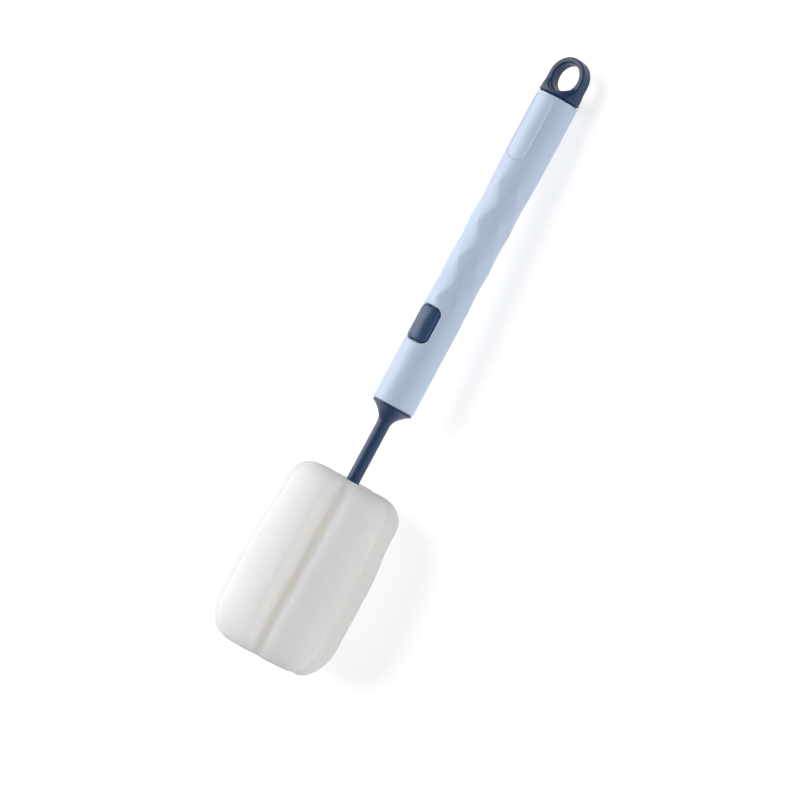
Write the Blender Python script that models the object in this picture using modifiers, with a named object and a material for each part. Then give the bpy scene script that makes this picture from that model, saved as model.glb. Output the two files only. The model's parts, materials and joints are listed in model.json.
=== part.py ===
"""Sponge cup brush with a push-button release for its head.

The brush is modelled upright in its own frame and then laid on the ground.
In that frame the axis is Z, the sponge's free end is at height 0, the hanging
ring is at the top, and the front (button side) faces -Y.  Lying down, the
axis runs along +Y, the front faces up and a groove of the sponge faces down.
"""

import math

import bmesh
import bpy
from mathutils import Matrix, Vector

MM = 0.001

# Running gap between pieces that touch, and the distance below which points merge
GAP = 0.3 * MM
WELD = 0.002 * MM
EXTRA = 2.0 * MM
SMOOTH_ANGLE = math.radians(35.0)
ARC_STEPS = 5
BEVEL_STEPS = 2

# Lengths along the axis, from the sponge's free end to the top of the ring
SPONGE_LENGTH = 78.8 * MM
NECK_LENGTH = 34.0 * MM
HANDLE_LENGTH = 139.2 * MM
CAP_HEIGHT = 18.0 * MM

# Handle tube
HANDLE_RADIUS = 9.0 * MM
BORE_RADIUS = 7.2 * MM
RIM_CHAMFER = 0.4 * MM
TUBE_STEPS = 48

# Diamond facets: corner points stand on the tube's round, in columns and rows
FACET_COLUMNS = 12
FACET_ROWS = 6
FACET_ROW_PITCH = 8.7 * MM
FACET_DIP = 0.55 * MM
FACET_FADE = 6.5 * MM
FACETS_BELOW_TOP = 40.0 * MM
CELL_ROWS = 4
FADE_CELLS = 3

# Release button and its window
BUTTON_WIDTH = 9.5 * MM
BUTTON_HEIGHT = 15.0 * MM
BUTTON_CORNER = 2.7 * MM
BUTTON_PROUD = 0.7 * MM
BUTTON_ABOVE_END = 34.9 * MM
BUTTON_UNDERSIDE = 6.0 * MM
LIP_WIDTH = 0.8 * MM
RIB_LENGTH = 8.0 * MM
BUTTON_TRAVEL = 1.6 * MM
WINDOW_GAP = 0.3 * MM
WINDOW_CHAMFER = 0.45 * MM
RUN_STEPS = 4
UNDERSIDE_SHARES = (0.35, 0.7, 1.0)
CROWN_SHARES = (1.0, 0.95, 0.86, 0.72, 0.5, 0.25)

# Latch wire: a stirrup with two legs beside the plug and a bar behind it
WIRE_RADIUS = 0.5 * MM
LEG_SETBACK = 2.4 * MM
BAR_BELOW_BUTTON = 5.7 * MM
ANCHOR_ABOVE_BUTTON = 14.5 * MM
BAR_CATCH = 1.3 * MM
BAR_STROKE = 1.5 * MM
WIRE_BEND = 1.0 * MM
BEND_STEPS = 3

# Sleeve in the tube
SLEEVE_TOP_WALL = 3.0 * MM

# Head: plug, flange, flared neck, rod and core
PLUG_RADIUS = 3.8 * MM
PLUG_NOSE_RADIUS = 2.6 * MM
PLUG_NOSE_LENGTH = 2.5 * MM
PLUG_ABOVE_BAR = 3.5 * MM
FLANGE_RADIUS = 8.8 * MM
FLANGE_THICKNESS = 0.9 * MM
FLARE_HEIGHT = 7.0 * MM
FLARE_ROOT_RADIUS = 8.2 * MM
ROD_RADIUS = 2.8 * MM
BARB_RADIUS = 3.6 * MM
BARB_LENGTH = 6.0 * MM
CORE_MARGIN = 12.0 * MM
CORE_LEAD_IN = 9.0 * MM
CORE_TIP = 3.0 * MM
FLARE_STEPS = 7
TURN_STEPS = 32

# Sponge
LOBES = 5
SPONGE_RADIUS = 26.4 * MM
ROOT_SHARE = 0.68
GROOVE_FLANK = math.radians(26.0)
END_FLANK = math.radians(30.0)
LOBE_CORNER = 2.2 * MM
SHOULDER_WIDTH = 10.0 * MM
FREE_SHOULDER_HEIGHT = 18.0 * MM
ROD_SHOULDER_HEIGHT = 10.0 * MM
TAPER = 1.5 * MM
TAPER_START = 42.0 * MM
END_DISH = 1.2 * MM
SPONGE_TURN = math.radians(-6.0)
FLANK_STEPS = 2
CORNER_STEPS = 4
CROWN_STEPS = 2
SHOULDER_STEPS = 5
TAPER_STEPS = 3
END_SHARES = (0.4, 0.7)
BORE_STEPS = 24

# Hanging cap
RING_THICKNESS = 5.4 * MM
RING_RADIUS = 8.85 * MM
RING_HOLE_RADIUS = 6.5 * MM
RING_EDGE = 0.8 * MM
CAP_RIM_HEIGHT = 0.8 * MM
CAP_FLARE_HEIGHT = 5.5 * MM
CAP_FLARE_CURVE = 1.5
SPIGOT_LENGTH = 12.0 * MM
SPIGOT_WALL = 1.6 * MM
ARCH_STEPS = 24

# Heights that follow from the lengths
HANDLE_BASE = SPONGE_LENGTH + NECK_LENGTH
HANDLE_TOP = HANDLE_BASE + HANDLE_LENGTH
RING_TOP = HANDLE_TOP + CAP_HEIGHT
BUTTON_CENTRE = HANDLE_BASE + BUTTON_ABOVE_END
FACET_TOP = HANDLE_TOP - FACETS_BELOW_TOP
BAR_HEIGHT = BUTTON_CENTRE - BAR_BELOW_BUTTON
ANCHOR_HEIGHT = BUTTON_CENTRE + ANCHOR_ABOVE_BUTTON
SLEEVE_RADIUS = BORE_RADIUS - GAP
SLEEVE_BORE = PLUG_RADIUS + GAP
LEG_OFFSET = SLEEVE_BORE + WIRE_RADIUS
BAR_CENTRE = PLUG_RADIUS - BAR_CATCH + WIRE_RADIUS
WIRE_ROOM = WIRE_RADIUS + GAP

COLLECTION = "sponge_cup_brush"


def clear_scene():
    """Remove the objects of the startup scene."""
    for obj in list(bpy.data.objects):
        bpy.data.objects.remove(obj, do_unlink=True)


def new_collection(name):
    """Make a collection in the scene."""
    collection = bpy.data.collections.new(name)
    bpy.context.scene.collection.children.link(collection)
    return collection


def new_object(name, data, collection):
    """Put a mesh or curve into a collection as an object."""
    obj = bpy.data.objects.new(name, data)
    collection.objects.link(obj)
    return obj


def plastic(name, color, roughness, metallic=0.0):
    """Make a Principled material."""
    material = bpy.data.materials.new(name)
    material.use_nodes = True
    shader = material.node_tree.nodes["Principled BSDF"]
    shader.inputs["Base Color"].default_value = (*color, 1.0)
    shader.inputs["Roughness"].default_value = roughness
    shader.inputs["Metallic"].default_value = metallic
    return material


def arc(centre, radius, start, end, steps):
    """Points on a circle arc, given by its centre and two angles in degrees."""
    points = []
    for i in range(steps + 1):
        angle = math.radians(start + (end - start) * i / steps)
        points.append((centre[0] + radius * math.cos(angle), centre[1] + radius * math.sin(angle)))
    return points


def turned(name, profile, collection, closed=False, steps=TURN_STEPS):
    """Turn a profile of (radius, height) points about Z; it runs down its outer side."""
    mesh = bpy.data.meshes.new(name)
    edges = [(i, i + 1) for i in range(len(profile) - 1)]
    if closed:
        edges.append((len(profile) - 1, 0))
    mesh.from_pydata([(radius, 0.0, height) for radius, height in profile], edges, [])
    obj = new_object(name, mesh, collection)
    screw = obj.modifiers.new("turn", "SCREW")
    screw.steps = steps
    screw.render_steps = steps
    screw.use_merge_vertices = True
    screw.merge_threshold = WELD
    return obj


def baked(obj):
    """Turn an object's modifiers into plain mesh and shade it smooth up to its edges."""
    depsgraph = bpy.context.evaluated_depsgraph_get()
    mesh = bpy.data.meshes.new_from_object(obj.evaluated_get(depsgraph))
    obj.modifiers.clear()
    obj.data = mesh
    mesh.name = obj.name
    mesh.shade_smooth()
    mesh.set_sharp_from_angle(angle=SMOOTH_ANGLE)
    return obj


def curve_to_mesh(obj, collection):
    """Replace a curve object by its mesh, with the caps welded on."""
    depsgraph = bpy.context.evaluated_depsgraph_get()
    mesh = bpy.data.meshes.new_from_object(obj.evaluated_get(depsgraph))
    weld(mesh)
    solid = new_object(obj.name + "_solid", mesh, collection)
    solid.matrix_world = obj.matrix_world.copy()
    bpy.data.objects.remove(obj, do_unlink=True)
    return solid


def weld(mesh):
    """Merge a mesh's doubled points."""
    work = bmesh.new()
    work.from_mesh(mesh)
    bmesh.ops.remove_doubles(work, verts=work.verts, dist=WELD)
    work.to_mesh(mesh)
    work.free()


def combine(obj, other, operation):
    """Add a Boolean of another object to this one."""
    modifier = obj.modifiers.new(operation.lower(), "BOOLEAN")
    modifier.operation = operation
    modifier.object = other
    other.hide_render = True
    other.display_type = "WIRE"


def box(name, low, high, collection):
    """A box between two corners."""
    mesh = bpy.data.meshes.new(name)
    work = bmesh.new()
    bmesh.ops.create_cube(work, size=1.0)
    size = Vector(high) - Vector(low)
    middle = (Vector(high) + Vector(low)) / 2.0
    bmesh.ops.scale(work, vec=size, verts=work.verts)
    bmesh.ops.translate(work, vec=middle, verts=work.verts)
    work.to_mesh(mesh)
    work.free()
    return new_object(name, mesh, collection)


def loft(name, rings, first, last, collection):
    """Skin rings of equal count, closed by a fan to a point at each end."""
    count = len(rings[0])
    points = [first] + [point for ring in rings for point in ring] + [last]
    faces = []
    for i in range(count):
        j = (i + 1) % count
        faces.append((0, 1 + j, 1 + i))
        for k in range(len(rings) - 1):
            row = 1 + k * count
            faces.append((row + i, row + j, row + count + j, row + count + i))
        row = 1 + (len(rings) - 1) * count
        faces.append((row + i, row + j, len(points) - 1))
    mesh = bpy.data.meshes.new(name)
    mesh.from_pydata(points, [], faces)
    work = bmesh.new()
    work.from_mesh(mesh)
    bmesh.ops.recalc_face_normals(work, faces=work.faces)
    work.to_mesh(mesh)
    work.free()
    return new_object(name, mesh, collection)


def rounded_rectangle(half_width, half_height, corner):
    """Outline of (x, z) points, with its straight runs divided so that it can bend."""
    corner = min(corner, half_width - GAP, half_height - GAP)
    outline = []
    for k in range(4):
        side_x = half_width - corner if k in (0, 3) else corner - half_width
        side_z = half_height - corner if k in (0, 1) else corner - half_height
        outline += arc((side_x, side_z), corner, 90.0 * k, 90.0 * (k + 1), ARC_STEPS)
    points = []
    for index, (start, end) in enumerate(zip(outline, outline[1:] + outline[:1])):
        between_arcs = (index + 1) % (ARC_STEPS + 1) == 0
        pieces = RUN_STEPS if between_arcs else 1
        for i in range(pieces):
            share = i / pieces
            x = start[0] + (end[0] - start[0]) * share
            z = start[1] + (end[1] - start[1]) * share
            points.append((x, z))
    return points


def on_round(x, z, radius):
    """A point of the button's outline, laid on a round of this radius at the front."""
    return (x, -math.sqrt(radius * radius - x * x), BUTTON_CENTRE + z)


def facet_place(x, y, z):
    """Column and row numbers of a point on the tube, counted from the front and the top row."""
    turn = math.atan2(x, -y)
    column = turn / (math.tau / FACET_COLUMNS)
    return column, (FACET_TOP - z) / FACET_ROW_PITCH


def facet_depth(column, row):
    """How far a diamond lies below the tube's round.

    Each diamond is a saddle stretched between four corner points, so its edges are
    straight and shared with its neighbours.
    """
    first = (column + row) / 2.0
    second = (column - row) / 2.0
    across = 2.0 * (first - math.floor(first)) - 1.0
    along = 2.0 * (second - math.floor(second)) - 1.0
    angle = math.tau / FACET_COLUMNS
    middle = (1.0 - math.cos(angle)) / 2.0
    forward = 1.0 - middle * (1.0 + across * along)
    sideways = math.sin(angle) * (across + along) / 2.0
    share = (1.0 - math.hypot(forward, sideways)) / middle
    beyond = max(-row, row - FACET_ROWS, 0.0) * FACET_ROW_PITCH
    fade = max(1.0 - beyond / FACET_FADE, 0.0)
    return FACET_DIP * share * fade


def facet_heights():
    """Heights of the point rows that carry the facets, from the top down."""
    fade = [FACET_TOP + FACET_FADE * (FADE_CELLS - i) / FADE_CELLS for i in range(FADE_CELLS)]
    cells = FACET_ROWS * CELL_ROWS
    rows = [FACET_TOP - FACET_ROW_PITCH * i / CELL_ROWS for i in range(cells + 1)]
    last = rows[-1]
    tail = [last - FACET_FADE * (i + 1) / FADE_CELLS for i in range(FADE_CELLS)]
    return fade + rows + tail


def cut_facets(mesh):
    """Draw the tube's outer round in to the diamonds and fold its cells along their edges."""
    heights = facet_heights()
    top = heights[0] + WELD
    bottom = heights[-1] - WELD
    work = bmesh.new()
    work.from_mesh(mesh)
    for vert in work.verts:
        radius = math.hypot(vert.co.x, vert.co.y)
        if radius > HANDLE_RADIUS - WELD and bottom < vert.co.z < top:
            depth = facet_depth(*facet_place(*vert.co))
            scale = (radius - depth) / radius
            vert.co.x *= scale
            vert.co.y *= scale
    for face in list(work.faces):
        centre = face.calc_center_median()
        outside = math.hypot(centre.x, centre.y) > (HANDLE_RADIUS + BORE_RADIUS) / 2.0
        if outside and bottom < centre.z < top and len(face.verts) == 4:
            fold_cell(face, centre)
    work.to_mesh(mesh)
    work.free()


def fold_cell(face, centre):
    """Split one cell along the diamond edge that runs through its block."""
    column, row = facet_place(*centre)
    falling = (math.floor(column) + math.floor(row)) % 2 == 0

    def place(vert):
        own_column, own_row = facet_place(*vert.co)
        own_column += FACET_COLUMNS * round((column - own_column) / FACET_COLUMNS)
        side = own_column - column
        drop = own_row - row
        return side + drop if falling else side - drop

    ordered = sorted(face.verts, key=place)
    bmesh.utils.face_split(face, ordered[0], ordered[-1])


def make_handle_tube(parts, cutters):
    """The moulded tube: turned, faceted, and cut by the button's window."""
    outer = [(HANDLE_RADIUS - RIM_CHAMFER, HANDLE_TOP), (HANDLE_RADIUS, HANDLE_TOP - RIM_CHAMFER)]
    outer += [(HANDLE_RADIUS, height) for height in facet_heights()]
    outer += [
        (HANDLE_RADIUS, HANDLE_BASE + RIM_CHAMFER),
        (HANDLE_RADIUS - RIM_CHAMFER, HANDLE_BASE),
    ]
    inner = [(BORE_RADIUS, HANDLE_BASE), (BORE_RADIUS, HANDLE_TOP)]
    tube = turned("handle_tube", outer + inner, parts, closed=True, steps=TUBE_STEPS)
    baked(tube)
    cut_facets(tube.data)
    combine(tube, window_cutter(cutters), "DIFFERENCE")
    return baked(tube)


def window_cutter(cutters):
    """The window's cutter, which widens into a chamfer at the tube's surface."""
    half_width = BUTTON_WIDTH / 2.0 + WINDOW_GAP
    half_height = BUTTON_HEIGHT / 2.0 + WINDOW_GAP
    corner = BUTTON_CORNER + WINDOW_GAP
    levels = [
        (0.0, BUTTON_UNDERSIDE),
        (0.0, HANDLE_RADIUS - WINDOW_CHAMFER),
        (WINDOW_CHAMFER + WINDOW_GAP, HANDLE_RADIUS + WINDOW_GAP),
    ]
    rings = []
    for wider, radius in levels:
        outline = rounded_rectangle(half_width + wider, half_height + wider, corner + wider)
        rings.append([on_round(x, z, radius) for x, z in outline])
    inside = (0.0, -BUTTON_UNDERSIDE + EXTRA, BUTTON_CENTRE)
    outside = (0.0, -HANDLE_RADIUS - EXTRA, BUTTON_CENTRE)
    return loft("window_cutter", rings, inside, outside, cutters)


def make_hanging_cap(parts, cutters):
    """The end cap: a ring plate on a round flared base, with a hollow spigot below."""
    seat = HANDLE_TOP + GAP
    cap = turned("hanging_cap", cap_base_profile(seat), parts, steps=TUBE_STEPS)
    baked(cap)
    combine(cap, ring_plate(seat, cutters), "UNION")
    combine(cap, ring_hole_cutter(cutters), "DIFFERENCE")
    return baked(cap)


def cap_base_profile(seat):
    """The cap's round base with the spigot, which is open at its lower end."""
    flare_top = seat + CAP_RIM_HEIGHT + CAP_FLARE_HEIGHT
    neck = RING_THICKNESS / 2.0 - RING_EDGE
    profile = [(0.0, flare_top)]
    for i in range(FLARE_STEPS + 1):
        share = i / FLARE_STEPS
        radius = neck + (HANDLE_RADIUS - neck) * share**CAP_FLARE_CURVE
        profile.append((radius, flare_top - CAP_FLARE_HEIGHT * share))
    spigot = BORE_RADIUS - GAP
    foot = HANDLE_TOP - SPIGOT_LENGTH
    profile += [
        (HANDLE_RADIUS, seat + RIM_CHAMFER),
        (HANDLE_RADIUS - RIM_CHAMFER, seat),
        (spigot, seat),
        (spigot, foot + RIM_CHAMFER),
        (spigot - RIM_CHAMFER, foot),
        (spigot - SPIGOT_WALL, foot),
        (spigot - SPIGOT_WALL, seat - SPIGOT_WALL),
        (0.0, seat - SPIGOT_WALL),
    ]
    return profile


def ring_plate(seat, cutters):
    """The ring's plate: an arch outline with rounded edges, standing on the base."""
    radius = RING_RADIUS - RING_EDGE
    centre = RING_TOP - RING_RADIUS
    outline = arc((0.0, centre), radius, 0.0, 180.0, ARCH_STEPS)
    outline += [(-radius, seat + RING_EDGE), (radius, seat + RING_EDGE)]
    curve = bpy.data.curves.new("ring_plate", "CURVE")
    curve.dimensions = "2D"
    curve.fill_mode = "BOTH"
    curve.extrude = RING_THICKNESS / 2.0 - RING_EDGE
    curve.bevel_depth = RING_EDGE
    curve.bevel_resolution = BEVEL_STEPS
    spline = curve.splines.new("POLY")
    spline.points.add(len(outline) - 1)
    for point, (x, z) in zip(spline.points, outline):
        point.co = (x, z, 0.0, 1.0)
    spline.use_cyclic_u = True
    plate = new_object("ring_plate", curve, cutters)
    plate.rotation_euler = (math.radians(90.0), 0.0, 0.0)
    bpy.context.view_layer.update()
    return curve_to_mesh(plate, cutters)


def ring_hole_cutter(cutters):
    """The hole's cutter: a spool along the ring's thickness, rounded at both faces."""
    reach = HANDLE_RADIUS + EXTRA
    face = RING_THICKNESS / 2.0
    wide = RING_HOLE_RADIUS + RING_EDGE
    profile = [(0.0, reach), (wide, reach)]
    for i in range(ARC_STEPS + 1):
        angle = math.radians(90.0) * i / ARC_STEPS
        profile.append((wide - RING_EDGE * math.sin(angle), face - RING_EDGE * (1.0 - math.cos(angle))))
    profile += [(radius, -height) for radius, height in reversed(profile)]
    cutter = turned("ring_hole_cutter", profile, cutters, steps=TURN_STEPS)
    cutter.rotation_euler = (math.radians(90.0), 0.0, 0.0)
    cutter.location = (0.0, 0.0, RING_TOP - RING_RADIUS)
    return cutter


def make_latch_sleeve(parts, cutters):
    """The sleeve that guides the plug, cut away under the button and slotted for the wire."""
    top = ANCHOR_HEIGHT + WIRE_ROOM + SLEEVE_TOP_WALL
    profile = [
        (SLEEVE_RADIUS, top),
        (SLEEVE_RADIUS, HANDLE_BASE),
        (SLEEVE_BORE, HANDLE_BASE),
        (SLEEVE_BORE, top),
    ]
    sleeve = turned("latch_sleeve", profile, parts, closed=True)
    half_pocket = BUTTON_HEIGHT / 2.0 + LIP_WIDTH + GAP
    pocket_floor = BUTTON_TRAVEL + GAP - lip_side()
    reach = HANDLE_RADIUS + EXTRA
    pocket = box(
        "button_pocket",
        (-reach, -reach, BUTTON_CENTRE - half_pocket),
        (reach, pocket_floor, BUTTON_CENTRE + half_pocket),
        cutters,
    )
    combine(sleeve, pocket, "DIFFERENCE")
    bar_room = box(
        "bar_slot",
        (-LEG_OFFSET - WIRE_ROOM, -LEG_SETBACK - WIRE_ROOM, BAR_HEIGHT - WIRE_ROOM),
        (LEG_OFFSET + WIRE_ROOM, BAR_CENTRE + BAR_STROKE + WIRE_ROOM, BAR_HEIGHT + WIRE_ROOM),
        cutters,
    )
    combine(sleeve, bar_room, "DIFFERENCE")
    legs = box(
        "leg_slots",
        (-reach, -LEG_SETBACK - WIRE_ROOM, BUTTON_CENTRE),
        (reach, -LEG_SETBACK + WIRE_ROOM, ANCHOR_HEIGHT + WIRE_ROOM),
        cutters,
    )
    combine(sleeve, legs, "DIFFERENCE")
    return baked(sleeve)


def lip_side():
    """How far in front of the axis the inner corner of the button's lip lies."""
    half = BUTTON_WIDTH / 2.0 + LIP_WIDTH
    return math.sqrt(max(BUTTON_UNDERSIDE**2 - half**2, 0.0))


def bent_path(corners, bend):
    """A path through corner points, with each inner corner rounded off."""
    path = [Vector(corners[0])]
    for before, corner, after in zip(corners, corners[1:], corners[2:]):
        corner = Vector(corner)
        start = corner + (Vector(before) - corner).normalized() * bend
        end = corner + (Vector(after) - corner).normalized() * bend
        for i in range(BEND_STEPS + 1):
            share = i / BEND_STEPS
            path.append(start * (1 - share) ** 2 + corner * 2 * share * (1 - share) + end * share**2)
    path.append(Vector(corners[-1]))
    return path


def make_latch_wire(parts):
    """The spring wire: anchored in the sleeve above, its bar in the plug's notch below."""
    anchor = SLEEVE_RADIUS - WIRE_ROOM
    half = [
        (anchor, -LEG_SETBACK, ANCHOR_HEIGHT),
        (LEG_OFFSET, -LEG_SETBACK, ANCHOR_HEIGHT),
        (LEG_OFFSET, -LEG_SETBACK, BAR_HEIGHT),
        (LEG_OFFSET, BAR_CENTRE, BAR_HEIGHT),
    ]
    corners = half + [(-x, y, z) for x, y, z in reversed(half)]
    path = bent_path(corners, WIRE_BEND)
    curve = bpy.data.curves.new("latch_wire", "CURVE")
    curve.dimensions = "3D"
    curve.bevel_depth = WIRE_RADIUS
    curve.bevel_resolution = BEVEL_STEPS
    curve.use_fill_caps = True
    spline = curve.splines.new("POLY")
    spline.points.add(len(path) - 1)
    for point, place in zip(spline.points, path):
        point.co = (*place, 1.0)
    return new_object("latch_wire", curve, parts)


def make_release_button(parts, cutters):
    """The button: a crowned pad in the window, a lip under the tube's wall and two ribs."""
    half_width = BUTTON_WIDTH / 2.0
    half_height = BUTTON_HEIGHT / 2.0
    pad = rounded_rectangle(half_width, half_height, BUTTON_CORNER)
    lip = rounded_rectangle(
        half_width + LIP_WIDTH, half_height + LIP_WIDTH, BUTTON_CORNER + LIP_WIDTH
    )
    lip_top = BORE_RADIUS - GAP
    rings = []
    for share in UNDERSIDE_SHARES:
        rings.append([on_round(x * share, z * share, BUTTON_UNDERSIDE) for x, z in lip])
    rings.append([on_round(x, z, lip_top) for x, z in lip])
    rings.append([on_round(x, z, lip_top) for x, z in pad])
    for share in CROWN_SHARES:
        radius = HANDLE_RADIUS + BUTTON_PROUD * (1.0 - share**3)
        rings.append([on_round(x * share, z * share, radius) for x, z in pad])
    under = on_round(0.0, 0.0, BUTTON_UNDERSIDE)
    crown = on_round(0.0, 0.0, HANDLE_RADIUS + BUTTON_PROUD)
    button = loft("release_button", rings, under, crown, parts)
    rib_root = on_round(LEG_OFFSET, 0.0, (BUTTON_UNDERSIDE + lip_top) / 2.0)[1]
    rib_foot = -LEG_SETBACK - WIRE_ROOM
    half_rib = RIB_LENGTH / 2.0
    for side in (-1, 1):
        rib = box(
            "button_rib",
            (side * LEG_OFFSET - WIRE_RADIUS, rib_root, BUTTON_CENTRE - half_rib),
            (side * LEG_OFFSET + WIRE_RADIUS, rib_foot, BUTTON_CENTRE + half_rib),
            cutters,
        )
        combine(button, rib, "UNION")
    return baked(button)


def core_profile(clearance):
    """The barbed core from the foam's upper end down, widened by a clearance.

    Each barb has its wide shoulder at its upper end, so that the foam can't slip off.
    """
    room = SPONGE_LENGTH - CORE_LEAD_IN - CORE_TIP - CORE_MARGIN
    profile = []
    top = SPONGE_LENGTH - CORE_LEAD_IN + clearance
    for _ in range(max(int(room / BARB_LENGTH), 0)):
        profile.append((ROD_RADIUS + clearance, top))
        profile.append((BARB_RADIUS + clearance, top))
        top -= BARB_LENGTH
    profile.append((ROD_RADIUS + clearance, top))
    profile.append((ROD_RADIUS / 2.0 + clearance, CORE_MARGIN - clearance))
    profile.append((0.0, CORE_MARGIN - clearance))
    return profile


def make_head_stem(parts, cutters):
    """The head's moulding: plug with its notch, flange, flared neck, rod and core."""
    plug_top = BAR_HEIGHT + PLUG_ABOVE_BAR
    flange_top = HANDLE_BASE - GAP
    flange_foot = flange_top - FLANGE_THICKNESS
    profile = [
        (0.0, plug_top + PLUG_NOSE_LENGTH),
        (PLUG_NOSE_RADIUS, plug_top + PLUG_NOSE_LENGTH),
        (PLUG_RADIUS, plug_top),
        (PLUG_RADIUS, flange_top),
        (FLANGE_RADIUS, flange_top),
        (FLANGE_RADIUS, flange_foot),
    ]
    for i in range(FLARE_STEPS + 1):
        share = i / FLARE_STEPS
        radius = ROD_RADIUS + (FLARE_ROOT_RADIUS - ROD_RADIUS) * (1.0 - share) ** 2
        profile.append((radius, flange_foot - FLARE_HEIGHT * share))
    profile += core_profile(0.0)
    stem = turned("head_stem", profile, parts)
    notch = box(
        "bar_notch",
        (-HANDLE_RADIUS, BAR_CENTRE - WIRE_ROOM, BAR_HEIGHT - WIRE_ROOM),
        (HANDLE_RADIUS, HANDLE_RADIUS, BAR_HEIGHT + WIRE_ROOM),
        cutters,
    )
    combine(stem, notch, "DIFFERENCE")
    return baked(stem)


def half_lobe(reach, flank):
    """Half of a lobe's outline, from its groove's root to its middle, as polar points.

    The groove runs along angle 0. Its flank is a straight line, its corner an arc that
    touches the flank and the outer round, and the outer round is about the axis.
    """
    corner = LOBE_CORNER
    root = ROOT_SHARE * reach
    along = root * math.cos(flank)
    spread = (reach - corner) ** 2 - corner**2 + 2.0 * root * corner * math.sin(flank)
    length = math.sqrt(along**2 - root**2 + spread) - along
    middle_x = root + length * math.cos(flank) - corner * math.sin(flank)
    middle_y = length * math.sin(flank) + corner * math.cos(flank)
    points = []
    for i in range(FLANK_STEPS):
        run = length * i / FLANK_STEPS
        points.append((root + run * math.cos(flank), run * math.sin(flank)))
    end = math.atan2(middle_y, middle_x)
    start_deg = math.degrees(flank) - 90.0
    points += arc((middle_x, middle_y), corner, start_deg, math.degrees(end), CORNER_STEPS)
    for i in range(1, CROWN_STEPS + 1):
        angle = end + (math.pi / LOBES - end) * i / CROWN_STEPS
        points.append((reach * math.cos(angle), reach * math.sin(angle)))
    return [(math.atan2(y, x), math.hypot(x, y)) for x, y in points]


def sponge_outline(reach, flank):
    """The whole outline as polar points, with angles counted from the first lobe's middle."""
    half = half_lobe(reach, flank)
    outline = []
    for lobe in range(LOBES):
        groove = (2.0 * lobe + 1.0) * math.pi / LOBES
        outline += [(groove - angle, radius) for angle, radius in reversed(half[1:-1])]
        outline += [(groove + angle, radius) for angle, radius in half]
    return outline


def sponge_ring(reach, flank, height, share=1.0):
    """One outline of the foam at a height, drawn in towards the axis by a share."""
    ring = []
    for angle, radius in sponge_outline(reach, flank):
        turn = angle + SPONGE_TURN
        ring.append((share * radius * math.sin(turn), -share * radius * math.cos(turn), height))
    return ring


def sponge_end(reach, shoulder_height):
    """Outlines from an end's middle over its shoulder to the sides, the end at height 0."""
    flat = reach - SHOULDER_WIDTH
    rings = []
    for share in END_SHARES:
        rings.append(sponge_ring(flat, END_FLANK, END_DISH * (1.0 - share), share))
    for i in range(SHOULDER_STEPS + 1):
        angle = math.radians(90.0) * i / SHOULDER_STEPS
        flank = END_FLANK + (GROOVE_FLANK - END_FLANK) * math.sin(angle)
        height = shoulder_height * (1.0 - math.cos(angle))
        rings.append(sponge_ring(flat + SHOULDER_WIDTH * math.sin(angle), flank, height))
    return rings


def sponge_rings():
    """All outlines of the foam: full below, then narrower towards the rod."""
    rings = sponge_end(SPONGE_RADIUS, FREE_SHOULDER_HEIGHT)
    taper_end = SPONGE_LENGTH - ROD_SHOULDER_HEIGHT
    for i in range(TAPER_STEPS):
        share = i / TAPER_STEPS
        reach = SPONGE_RADIUS - TAPER * math.sin(math.radians(90.0) * share) ** 2
        height = TAPER_START + (taper_end - TAPER_START) * share
        rings.append(sponge_ring(reach, GROOVE_FLANK, height))
    for ring in reversed(sponge_end(SPONGE_RADIUS - TAPER, ROD_SHOULDER_HEIGHT)):
        rings.append([(x, y, SPONGE_LENGTH - z) for x, y, z in ring])
    return rings


def make_sponge(parts, cutters):
    """The lobed foam: outlines stacked along the axis, with a blind bore for the core."""
    first = (0.0, 0.0, END_DISH)
    last = (0.0, 0.0, SPONGE_LENGTH - END_DISH)
    sponge = loft("sponge", sponge_rings(), first, last, parts)
    bore = core_profile(GAP)
    bore = [(0.0, SPONGE_LENGTH + EXTRA), (ROD_RADIUS + GAP, SPONGE_LENGTH + EXTRA)] + bore
    combine(sponge, turned("core_bore", bore, cutters, steps=BORE_STEPS), "DIFFERENCE")
    return baked(sponge)


def rest_slope():
    """Slope of the axis with a groove of the sponge facing down and the handle's end resting."""
    tangents = []
    for ring in sponge_rings():
        depth = max(y * math.cos(SPONGE_TURN) - x * math.sin(SPONGE_TURN) for x, y, z in ring)
        tangents.append((depth - HANDLE_RADIUS) / (HANDLE_TOP - ring[0][2]))
    return math.atan(max(tangents))


def set_up(piece, material, parent):
    """Give a piece its material and its place in the tree."""
    piece.data.materials.clear()
    piece.data.materials.append(material)
    piece.parent = parent


def set_origin(obj, origin):
    """Move an object's origin to a point without moving its shape."""
    obj.data.transform(Matrix.Translation(-Vector(origin)))
    obj.location = origin


def world_corners(pieces):
    """Lowest and highest corner of the pieces together."""
    bpy.context.view_layer.update()
    points = [piece.matrix_world @ vert.co for piece in pieces for vert in piece.data.vertices]
    low = Vector([min(point[axis] for point in points) for axis in range(3)])
    high = Vector([max(point[axis] for point in points) for axis in range(3)])
    return low, high


def lay_down(frame, pieces):
    """Lay the brush on the ground, on two lobes and the upper rim of the handle."""
    lean = Matrix.Rotation(-math.radians(90.0) - rest_slope(), 4, "X")
    turn = lean @ Matrix.Rotation(-SPONGE_TURN, 4, "Z")
    frame.matrix_world = turn
    low, high = world_corners(pieces)
    middle = (low + high) / 2.0
    frame.matrix_world = Matrix.Translation((-middle.x, -middle.y, -low.z)) @ turn


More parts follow.
